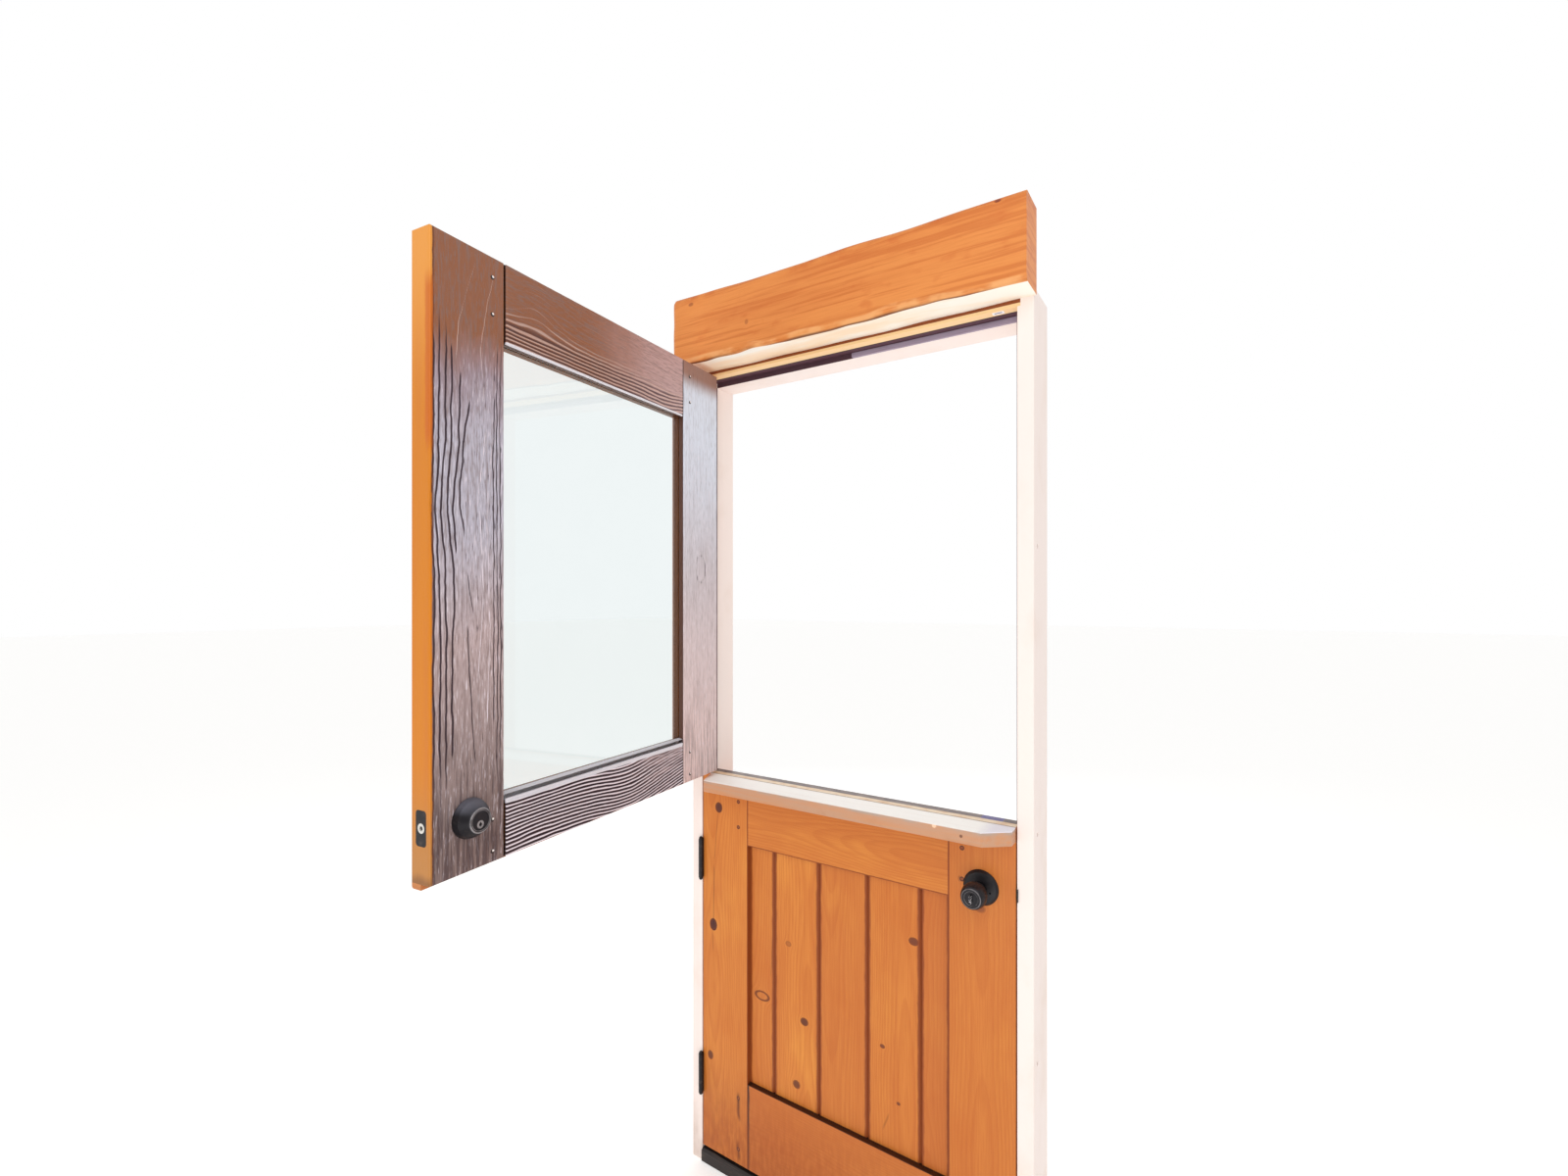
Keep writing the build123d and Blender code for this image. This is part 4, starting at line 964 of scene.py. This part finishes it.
def lock_grain(across, along):
    """Deep lines, pits and pale scratches of the lock stile."""
    lines = from_edge(bowed_lines, 1.7, 1.3) + from_edge(straight_lines, 1.2, 1.0)
    lines += from_edge(cracks, 1.1, 1.0)
    sheltered = np.clip((leaf_high - 90 - along) / 120, 0.25, 1)
    raised = np.clip((along - leaf_low - 60) / 160, 0.35, 1)
    deep = drawn_lines(across, along, lines, 3) * raised
    middle = np.clip((leaf_width - 48 - across) / 12, 0.35, 1)
    wear_and_sheen = np.clip(np.maximum(deep, pitted(across, along, 5) * middle), 0, 1) * sheltered
    return wear_and_sheen - drawn_lines(across, along, from_edge(pale_lines, 0.9, 0.55), 83)


def hinge_grain(across, along):
    """Faint lines, a swirl and light pits of the hinge stile."""
    lines = []
    for number in range(7):
        foot, middle = (leaf_low, 20 + 17 * number), (1560, 24 + 16 * number)
        lines.append(((foot, middle, (2070, 18 + 18 * number)), 1.0, 0.7))
    faint = 0.45 * drawn_lines(across, along, lines, 17)
    swirl = np.hypot(across - 75, (along - 1570) * 0.6)
    rings = np.clip(np.cos(swirl / 3.2) - 0.5, 0, 1) * np.clip((34 - swirl) / 12, 0, 1)
    return np.clip(faint + rings * 0.6 + pitted(across, along, 19, 0.3) * 0.6, 0, 1)


def top_grain(across, along):
    """Grain of the top rail, coarse below and fine above, bent round a knot."""
    spacing = sizes().ridge_spacing * to_mm
    rail = top_rail_low * to_mm
    end = lock_side * to_mm - hinge_edge * to_mm
    knot = np.hypot((across - 258) * 0.62, along - rail - 84)
    bend = 16 * line_mask(knot, 0, 34) * np.sign(along - rail - 84)
    tent = 34 * np.exp(-(((across - end + 70) / 75) ** 2))
    tent = tent * np.clip((along - rail - 30) / 60, 0, 1)
    swell = 9 * np.sin((across - 200) / 58) * np.clip((300 - across) / 150, 0, 1)
    near = np.clip((rail + 66 - along) / 30, 0, 1)
    coarse = ridged_grain(along, across, bend - tent + swell, spacing * 1.05, 23, 0.36)
    fine = ridged_grain(along, across, bend - tent + swell, spacing * 1.15, 27, 0.12)
    mixed = np.minimum(coarse, 0.5) * near + np.minimum(fine, 0.1) * 0.7 * (1 - near)
    return np.clip(mixed, -1, 0.5)


def bottom_grain(across, along):
    """Grain of the bottom rail, smoother towards the upper part of its hinge end."""
    spacing = sizes().ridge_spacing * to_mm
    rail_length = 528
    share = ((lock_side - hinge_edge) * to_mm - across) / rail_length
    level = 18 * np.clip((share - 0.62) / 0.38, 0, 1) ** 2
    level = level - 13 * line_mask(share, 0.6, 0.17)
    depth = ridged_grain(along, across, -level, spacing, 31, 0.38)
    upper = np.clip((along - leaf_low - 30) / 60, 0, 1)
    return depth * (1 - 0.75 * np.clip((share - 0.45) / 0.35, 0, 1) * upper)


class DOOR_OT_upper_boards(bpy.types.Operator):
    """Make the weathered stiles and rails of the upper leaf"""

    bl_idname = "door.upper_boards"
    bl_label = "Upper Leaf Boards"

    def execute(self, context):
        gap = sizes().joint_gap
        upright = (upper_low, upper_high)
        level = (hinge_side + gap * 0.8, lock_side - gap)
        lock, hinge = (lock_side, lock_edge), (hinge_edge, hinge_side)
        top, bottom = (top_rail_low, upper_high), (upper_low, sill_high - 0.010)
        # Shares of painted reflection and of brown stain for each board
        sky_sheen, dusk, dawn = {"pale": 0.92}, {"brown": 0.25, "glow": 0.6}, {"glow": 0.45}
        for name, seed, shades, spread, heights, steps, grain, ease in (
            ("lock_stile", 2.0, {}, lock, upright, (0.00075, 0.005), lock_grain, None),
            ("hinge_stile", 5.0, sky_sheen, hinge, upright, (0.0015, 0.006), hinge_grain, None),
            ("top_rail", 8.0, dusk, level, top, (0.004, 0.00085), top_grain, 0.003),
            ("bottom_rail", 11.0, dawn, level, bottom, (0.004, 0.00075), bottom_grain, None),
        ):
            finish = weathered_pine(f"stained_{name}", seed, **shades)
            weathered_board(f"upper_{name}", finish, spread, heights, steps, grain, ease)
        return {"FINISHED"}


class DOOR_OT_glazing(bpy.types.Operator):
    """Finish the glass and its beads"""

    bl_idname = "door.glazing"
    bl_label = "Glazing"

    def execute(self, context):
        dress(clear_glass(), "glass_pane")
        bead = Finish("bead_pine", roughness=0.42, coat=0.1, shine=0.3)
        tone, relief, _ = pine_tone(bead, bead.place(opened=True), True, 14.0, 0.1)
        normal = bead.add("ShaderNodeNewGeometry", {}, {}, output="Normal")
        turned = {"Vector": normal, "Angle": open_angle}
        normal = bead.add("ShaderNodeVectorRotate", {"rotation_type": "Z_AXIS"}, turned)
        inwards = bead.step(abs(bead.split(normal)[1]), 0.3, 0.6, 0.8, 0.0)
        bead.coloured(bead.mix(inwards, tone, colours().reveal), relief, 0.25, 0.0006)
        beads = [f"glass_bead_{side}" for side in ("top", "bottom", "hinge", "lock")]
        dress(bead, *beads, arris=sizes().board_arris)
        return {"FINISHED"}


class DOOR_OT_lower_boards(bpy.types.Operator):
    """Finish the framing and boards of the lower leaf"""

    bl_idname = "door.lower_boards"
    bl_label = "Lower Leaf Boards"

    def execute(self, context):
        arris = sizes().board_arris
        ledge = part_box("lower_bottom_rail")[1].z
        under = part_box("lower_top_rail")[0].z
        hinge_knots = (
            (-0.3535, 0.948, 0.0100, 0.0120, 0.95),
            (-0.3715, 0.637, 0.0105, 0.0140, 1.0),
            (-0.3815, 0.290, 0.0080, 0.0105, 0.85),
        )
        lock_knots = ((0.3340, 0.8560, 0.0110, 0.0080, 0.7), (0.2915, 0.9080, 0.0040, 0.0060, 0.4))
        hinge_strokes = (
            ((-0.3715, 0.625), (-0.3690, 0.800), 0.0018, 0.6),
            ((-0.3690, 0.800), (-0.3560, 0.940), 0.0013, 0.45),
            ((-0.3715, 0.560), (-0.3760, 0.630), 0.0014, 0.5),
            ((-0.2875, 0.150), (-0.2870, 0.232), 0.0075, 0.85),
            ((-0.2880, 0.045), (-0.2865, 0.108), 0.0080, 0.85),
        )
        at_hinge, at_lock = (0, hinge_side, 0.0022, 0.9), (0, lock_side, 0.0024, 0.9)
        hinge_lines = (at_hinge, (0, hinge_edge, 0.0024, 0.5))
        # Painted shadow along the top rail's lower edge
        top_lines = (at_hinge, at_lock, (2, under, 0.0030, 0.85))
        # A darker corner by the hinge stile, and painted shade in the groove above the bottom rail
        dark_corner, shaded_ledge = (0, hinge_side, 0.0075, 1.0), (2, ledge, 0.0018, 1.0)
        low_lines = (dark_corner, (0, lock_side, 0.0030, 0.9), shaded_ledge)
        for name, seed, pith, knots, edges, strokes, shade in (
            ("hinge_stile", 1.0, -0.37, hinge_knots, hinge_lines, hinge_strokes, 0.0),
            ("lock_stile", 4.0, 0.335, lock_knots, (at_lock,), (), 0.28),
            ("top_rail", 7.0, 0.93, (), top_lines, (), 0.18),
            ("bottom_rail", 9.0, 0.14, (), low_lines, (), 0.42),
        ):
            upright, topped = "stile" in name, name != "bottom_rail"
            board = pine(f"pine_{name}", upright, seed, pith, knots, edges, strokes, shade, topped)
            dress(board, f"lower_{name}", arris=arris)
        plank_knots = {
            1: ((-0.2225, 0.491, 0.0205, 0.0110, 0.06),),
            2: (
                (-0.1435, 0.6445, 0.0075, 0.0058, 0.3),
                (-0.0975, 0.468, 0.0098, 0.0086, 0.9),
                (-0.1200, 0.3075, 0.0092, 0.0090, 0.85),
            ),
            4: (
                (0.1095, 0.484, 0.0056, 0.0042, 0.9),
                (0.1485, 0.370, 0.0040, 0.0035, 0.9),
                (0.1845, 0.741, 0.0105, 0.0080, 0.95),
            ),
        }
        plank_strokes = {
            1: (((-0.1960, 0.540), (-0.1880, 0.700), 0.0014, 0.5),),
            4: (((0.1080, 0.290), (0.1280, 0.345), 0.0040, 0.3),),
        }
        shades = (0.0, 0.12, 0.0, 0.30, 0.18, 0.50)
        for number in range(1, 6):
            name = f"plank_{number}"
            low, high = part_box(name)
            left = low.x if number > 1 else hinge_side
            right = high.x - 0.007 if number < 5 else lock_side
            edges = (
                (0, left, 0.0090, 0.9),
                (0, right, 0.0090, 0.9),
                (2, ledge, 0.0028, 1.0),
                # Painted shadow under the top rail
                (2, under, 0.0045, 0.8),
            )
            pith = (left + right) / 2 + 0.03 * (-1) ** number
            knots, strokes = plank_knots.get(number, ()), plank_strokes.get(number, ())
            seed, shade = 10.0 + number * 3, shades[number]
            finish = pine(f"pine_{name}", True, seed, pith, knots, edges, strokes, shade)
            dress(finish, name, arris=arris * 0.5)
        return {"FINISHED"}


class DOOR_OT_pegs(bpy.types.Operator):
    """Finish the draw pegs of both leaves"""

    bl_idname = "door.pegs"
    bl_label = "Draw Pegs"

    def execute(self, context):
        peg = Finish("peg_pine", roughness=0.5, coat=0.05, shine=0.3)
        speck = peg.cloud(peg.place(), 420.0, detail=2.0)
        x, _, z = peg.split(peg.place())
        wear_and_sheen = 0.0
        for across, along in peg_places("lower_pegs", Matrix()):
            away = peg.radius(x, z, (across, along))
            wear_and_sheen = wear_and_sheen + peg.within(away, 0.0034, 0.0056, 0.0006)
        tone = peg.mix(speck, from_photo(176, 92, 40), from_photo(104, 46, 22))
        peg.coloured(peg.mix(wear_and_sheen * 0.8, tone, from_photo(48, 26, 20)), speck, 0.3, 0.0006)
        dress(peg, "lower_pegs")
        peg = Finish("stained_peg", roughness=0.4, coat=0.1)
        x, _, z = peg.split(peg.place(opened=True))
        glints = 0.0
        for across, along in peg_places("upper_pegs", closing):
            away = peg.radius(x, z, (across - 0.0012, along + 0.0016))
            glints = glints + peg.step(away, 0.0016, 0.0026, 1.0, 0.0)
        peg.set("Base Color", peg.mix(glints, from_photo(34, 22, 24), from_photo(248, 240, 236)))
        dress(peg, "upper_pegs")
        return {"FINISHED"}


class DOOR_OT_shelf(bpy.types.Operator):
    """Finish the shelf along the top of the lower leaf"""

    bl_idname = "door.shelf"
    bl_label = "Shelf"

    def execute(self, context):
        dress(shelf_pine(), "shelf", arris=sizes().board_arris)
        return {"FINISHED"}


def lintel_section(low, high, x, bevel, reach, rise, crown):
    """One section of the lintel, as (point, zone) pairs.

    The zone is 2 on the underside, about 1 on the hewn lower edge and 0 elsewhere.
    """
    end_cut, end_reach, top_ease = 0.009, 0.016, 0.006
    lift, belly, hollow_depth = 0.0006, 0.0016, sizes().lintel_hollow
    hewn = end_cut * max(0.0, 1 - (x - low.x) / end_reach) ** 2
    foot, top = low.z + rise + hewn, high.z - crown - hewn
    split_z, split_y = foot + bevel, low.y + hewn + reach
    section = []
    for share in np.linspace(0, 1, 13):
        y = high.y + (split_y - high.y) * share
        section.append((y, foot + lift * (1 - share), 2.0 - 0.2 * (share > 0.99)))
    for share in (0.25, 0.5, 0.75):
        bulge = belly * math.sin(math.pi * share)
        y = split_y + (low.y - split_y) * share - bulge
        section.append((max(y, low.y), foot + bevel * share - bulge, 1.2 - share * 0.4))
    for share in np.linspace(0, 1, 25):
        z = split_z + (top - top_ease - split_z) * share
        hollow = hewn + hollow_depth * scatter((x - low.x) * to_mm / 60, z * to_mm / 34, 79)
        section.append((low.y + hollow, z, 0.6 if share == 0 else 0.0))
    section.append((low.y + hewn + 0.0035, top - 0.0015, 0.0))
    section.append((low.y + hewn + 0.0085, top, 0.0))
    section.append((high.y, top, 0.0))
    section.append((high.y, foot + 0.0020, 0.0))
    return [((x, y, z), zone) for y, z, zone in section]


class DOOR_OT_lintel(bpy.types.Operator):
    """Make the hewn lintel, with its wandering lower edge"""

    bl_idname = "door.lintel"
    bl_label = "Lintel"

    def execute(self, context):
        mean, flat_sides = sizes().lintel_bevel, 5
        low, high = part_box("lintel_beam")
        near_end = low.x + np.array((0, 0.0012, 0.0025))
        stations = np.concatenate((near_end, np.linspace(low.x + 0.004, high.x, 240)))
        along = (stations - low.x) * to_mm
        bevel = mean * (0.35 + 1.25 * line_noise(along, 78, 61))
        reach = mean * (0.30 + 1.10 * line_noise(along, 52, 67))
        rise = 0.0032 * line_noise(along, 95, 71)
        crown = 0.0085 * line_noise(along, 130, 73)
        places = zip(stations, bevel, reach, rise, crown)
        rows = [lintel_section(low, high, *place) for place in places]
        shape = bmesh.new()
        grid = vertex_rows(shape, shape.verts.layers.float.new("zone"), rows)
        count = len(grid[0])
        for first, second in zip(grid, grid[1:]):
            for number in range(count):
                following = (number + 1) % count
                corners = (first[number], second[number], second[following], first[following])
                face = shape.faces.new(corners)
                face.smooth = 0 < number < count - flat_sides
        for end in (rows[0], rows[-1]):
            shape.faces.new([shape.verts.new(point) for point, _ in end])
        bmesh.ops.recalc_face_normals(shape, faces=shape.faces)
        mesh = worked_mesh("lintel_hewn", shape)
        piece("lintel_hewn", mesh, "frame", lintel_pine(), ("lintel_beam",))
        return {"FINISHED"}


class DOOR_OT_frame(bpy.types.Operator):
    """Finish the jambs, the head, their stops and seals"""

    bl_idname = "door.frame"
    bl_label = "Frame"

    def execute(self, context):
        arris = sizes().board_arris
        tones = colours()
        paint = cream_paint("cream_paint")
        dress(paint, "hinge_jamb", "lock_jamb", "hinge_stop", "lock_stop", arris=arris)
        dress(cream_paint("sealed_paint", True), "head_stop", arris=0.0004)
        head = Finish("pine_head", roughness=0.45, coat=0.05, shine=0.3)
        tone, relief, (x, y, z) = pine_tone(head, head.place(), False, 44.0, 2.2)
        # Painted sunlight: the head made pale peach
        tone = head.mix(0.85, tone, from_photo(254, 222, 166))
        shadow_line, dark_band_span = (2.0855, 2.0862), (0.0236, 0.0480)
        in_front = head.step(y, 0.0020, 0.0040, 1.0, 0.0)
        tone = head.mix(head.step(z, *shadow_line) * in_front, tone, from_photo(140, 70, 30))
        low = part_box("head_jamb")[0].z
        # Painted sunlight: the underside paler still
        under = head.step(z, low + 0.0004, low + 0.001, 1.0, 0.0)
        tone = head.mix(under, tone, from_photo(255, 214, 160))
        # A dark band along the underside, darkest nearest the leaf
        band = head.within(y, *dark_band_span, 0.0008)
        dark = head.tint(from_photo(46, 22, 24), from_photo(92, 60, 70), y, 0.0250, 0.0300)
        tone = head.mix(under * band, tone, dark)
        contact = under * head.within(x, 0.357, 0.380, 0.0004) * head.within(y, 0.006, 0.019, 0.0004)
        slot = head.within(x, 0.361, 0.376, 0.0004) * head.within(y, 0.010, 0.014, 0.0004)
        tone = head.mix(contact, tone, head.mix(slot, (1.0, 0.98, 1.0), from_photo(120, 104, 128)))
        head.coloured(tone, relief, 0.25, 0.0006)
        dress(head, "head_jamb", arris=arris)
        dress(rubber("dark_seal", tones.seal_dark, from_photo(84, 66, 70)), "side_seals")
        dress(rubber("head_seal_rubber", tones.seal_lilac, from_photo(140, 122, 140)), "head_seal")
        strip = Finish("strip_pine", roughness=0.5, coat=0.05, shine=0.3)
        tone, relief, _ = pine_tone(strip, strip.place(opened=True), False, 51.0, 1.03)
        strip.coloured(strip.mix(0.6, tone, from_photo(176, 118, 76)), relief, 0.3, 0.0006)
        dress(strip, "meeting_seal")
        return {"FINISHED"}


class DOOR_OT_threshold(bpy.types.Operator):
    """Finish the threshold and the sweep above it"""

    bl_idname = "door.threshold"
    bl_label = "Threshold"

    def execute(self, context):
        dress(threshold_metal(), "threshold", arris=0.0006)
        dress(rubber("sweep_rubber", from_photo(24, 22, 24), from_photo(60, 52, 48)), "door_sweep")
        return {"FINISHED"}


class DOOR_OT_hinges(bpy.types.Operator):
    """Finish the butt hinges, their pins and all screws"""

    bl_idname = "door.hinges"
    bl_label = "Hinges"

    def execute(self, context):
        metal = black_metal("hinge_metal", 0.2)
        plates = [f"jamb_hinge_plate_{number}" for number in range(1, 5)]
        plates += [f"{leaf}_hinge_plate_{number}" for leaf in ("lower", "upper") for number in (1, 2)]
        dress(metal, *plates, "hinge_pins")
        dress(metal, "frame_screws", "upper_leaf_screws", "lower_leaf_screws")
        return {"FINISHED"}


class DOOR_OT_knob_set(bpy.types.Operator):
    """Finish the knobs and latch of the lower leaf"""

    bl_idname = "door.knob_set"
    bl_label = "Knob Set"

    def execute(self, context):
        metal = black_metal("rose_metal", 0.06)
        dress(metal, "inner_rose", "outer_rose", "latch_case", "latch_strike")
        centre = box_middle(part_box("inner_knob"))
        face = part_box("inner_knob")[0].y
        # Painted glints on two rings of the knob's face
        rings = ((0.0184, 0.0198, 0.3), (0.0134, 0.0144, 0.25))
        metal = black_metal("knob_metal", 0.1, rings, False, centre, (-1.0, -face - 0.003), 0.02, 0.25)
        dress(metal, "inner_knob", "outer_knob")
        button = black_metal("button_metal", 0.1)
        x, y, z = button.split(button.place())
        glint = button.noise(x * 260, 0.0, z * 520, 1.0)
        ahead = button.step(y, face - 0.0002, face + 0.0012, 1.0, 0.0)
        tone = button.tint(colours().black_metal, colours().rubbed_metal_and_glints, glint, 0.5, 0.6)
        button.set("Base Color", button.mix(ahead, colours().black_metal, tone))
        dress(button, "turn_button")
        dress(brushed_steel("latch_steel"), "latch_bolt")
        return {"FINISHED"}


class DOOR_OT_deadbolt_set(bpy.types.Operator):
    """Finish the deadbolt of the upper leaf"""

    bl_idname = "door.deadbolt_set"
    bl_label = "Deadbolt Set"

    def execute(self, context):
        plain = black_metal("deadbolt_metal", 0.12)
        dress(plain, "deadbolt_rose", "thumb_turn", "deadbolt_case", "deadbolt_strike")
        collar, plug = closed_box("deadbolt_collar"), closed_box("key_plug")
        # Collar rings, rubbed and partly painted highlights; its top lit by a painted reflection
        rings, front = ((0.0184, 0.0204, 0.5), (0.0160, 0.0170, 0.35)), (1.0, collar[1].y - 0.0024)
        metal = black_metal("collar_metal", 0.1, rings, True, box_middle(collar), front, 0.14, 0.12)
        dress(metal, "deadbolt_collar")
        # Painted highlight: a bright ring round the keyway
        rings, front = ((0.0030, 0.0062, 0.55),), (1.0, plug[1].y - 0.001)
        dress(black_metal("plug_metal", 0.1, rings, True, box_middle(plug), front), "key_plug")
        core = box_middle(closed_box("deadbolt_bolt"), "yz")
        dress(brushed_steel("bolt_steel", 0.0040, core, True), "deadbolt_bolt")
        return {"FINISHED"}


class DOOR_OT_stage(bpy.types.Operator):
    """Set the pale floor, the soft light and the camera"""

    bl_idname = "door.stage"
    bl_label = "Stage"

    def execute(self, context):
        scene = context.scene
        scene.view_settings.view_transform = "Standard"

        mesh = bpy.data.meshes.new("floor")
        square = ((-1, -1), (1, -1), (1, 1), (-1, 1))
        corners = [(across * floor_reach, along * floor_reach, -floor_drop) for across, along in square]
        mesh.from_pydata(corners, [], [(0, 1, 2, 3)])
        floor = bpy.data.objects.new("floor", mesh)
        scene.collection.objects.link(floor)
        pale = Finish("pale_floor", roughness=0.9, shine=0.1)
        pale.set("Base Color", from_photo(250, 249, 247))
        pale.set("Emission Color", (1.0, 1.0, 1.0))
        pale.set("Emission Strength", floor_glow)
        mesh.materials.append(pale.material)

        world = bpy.data.worlds.new("studio")
        world.use_nodes = True
        scene.world = world
        studio = Nodes(world.node_tree)
        seen = studio.add("ShaderNodeLightPath", {}, {}, output="Is Camera Ray")
        outputs = seen.socket.node.outputs
        for name in ("Is Glossy Ray", "Is Transmission Ray"):
            seen = seen.worked("MAXIMUM", seen, Value(studio, outputs[name]))
        sockets = {"Value": seen, "To Min": wall_light, "To Max": 1.0}
        strength = studio.add("ShaderNodeMapRange", {}, sockets)
        sky = world.node_tree.nodes["Background"]
        studio.fill(sky.inputs["Color"], (1.0, 1.0, 1.0))
        studio.fill(sky.inputs["Strength"], strength)

        for name, place, target, size, power in (
            ("key", (1.4, -2.8, 3.4), (0.0, 0.0, 1.2), 2.4, 33.0),
            ("fill", (-1.6, 2.6, 2.8), (0.0, 0.0, 1.2), 3.0, 24.0),
            ("low", (0.5, -1.9, 0.25), (0.1, 0.0, 2.1), 1.6, 13.0),
        ):
            lamp = bpy.data.lights.new(name, "AREA")
            lamp.energy = power
            lamp.size = size
            holder = bpy.data.objects.new(name, lamp)
            holder.location = place
            aim = Vector(target) - Vector(place)
            holder.rotation_euler = aim.to_track_quat("-Z", "Y").to_euler()
            holder.visible_camera = False
            holder.visible_transmission = False
            scene.collection.objects.link(holder)

        camera = bpy.data.cameras.new("camera")
        camera.sensor_width = 36.0
        camera.lens = sizes().camera_lens
        camera.shift_y = camera_shift
        camera.clip_start = 0.05
        viewer = bpy.data.objects.new("camera", camera)
        viewer.location = camera_place
        viewer.rotation_euler = (math.radians(90), 0, camera_turn)
        scene.collection.objects.link(viewer)
        scene.camera = viewer
        return {"FINISHED"}


operators = (
    DOOR_OT_upper_boards,
    DOOR_OT_glazing,
    DOOR_OT_lower_boards,
    DOOR_OT_pegs,
    DOOR_OT_shelf,
    DOOR_OT_lintel,
    DOOR_OT_frame,
    DOOR_OT_threshold,
    DOOR_OT_hinges,
    DOOR_OT_knob_set,
    DOOR_OT_deadbolt_set,
    DOOR_OT_stage,
)


class DOOR_PT_looks(bpy.types.Panel):
    """Sizes, colours and steps of the door's looks"""

    bl_idname = "DOOR_PT_looks"
    bl_label = "Stable Door"
    bl_space_type = "VIEW_3D"
    bl_region_type = "UI"
    bl_category = "Stable Door"

    def draw(self, context):
        for group in (context.scene.door_sizes, context.scene.door_colours):
            box = self.layout.box()
            for name in group.__annotations__:
                box.prop(group, name)
        for operator in operators:
            self.layout.operator(operator.bl_idname)


registered = (DoorSizes, DoorColours, *operators, DOOR_PT_looks)


def register():
    """Register the classes and hang their properties on the scene."""
    for item in registered:
        bpy.utils.register_class(item)
    bpy.types.Scene.door_sizes = PointerProperty(type=DoorSizes)
    bpy.types.Scene.door_colours = PointerProperty(type=DoorColours)


def unregister():
    """Take everything off again."""
    del bpy.types.Scene.door_colours
    del bpy.types.Scene.door_sizes
    for item in reversed(registered):
        bpy.utils.unregister_class(item)


def main():
    """Make every piece in order."""
    register()
    for operator in operators:
        family, name = operator.bl_idname.split(".")
        getattr(getattr(bpy.ops, family), name)()


if __name__ == "__main__":
    main()
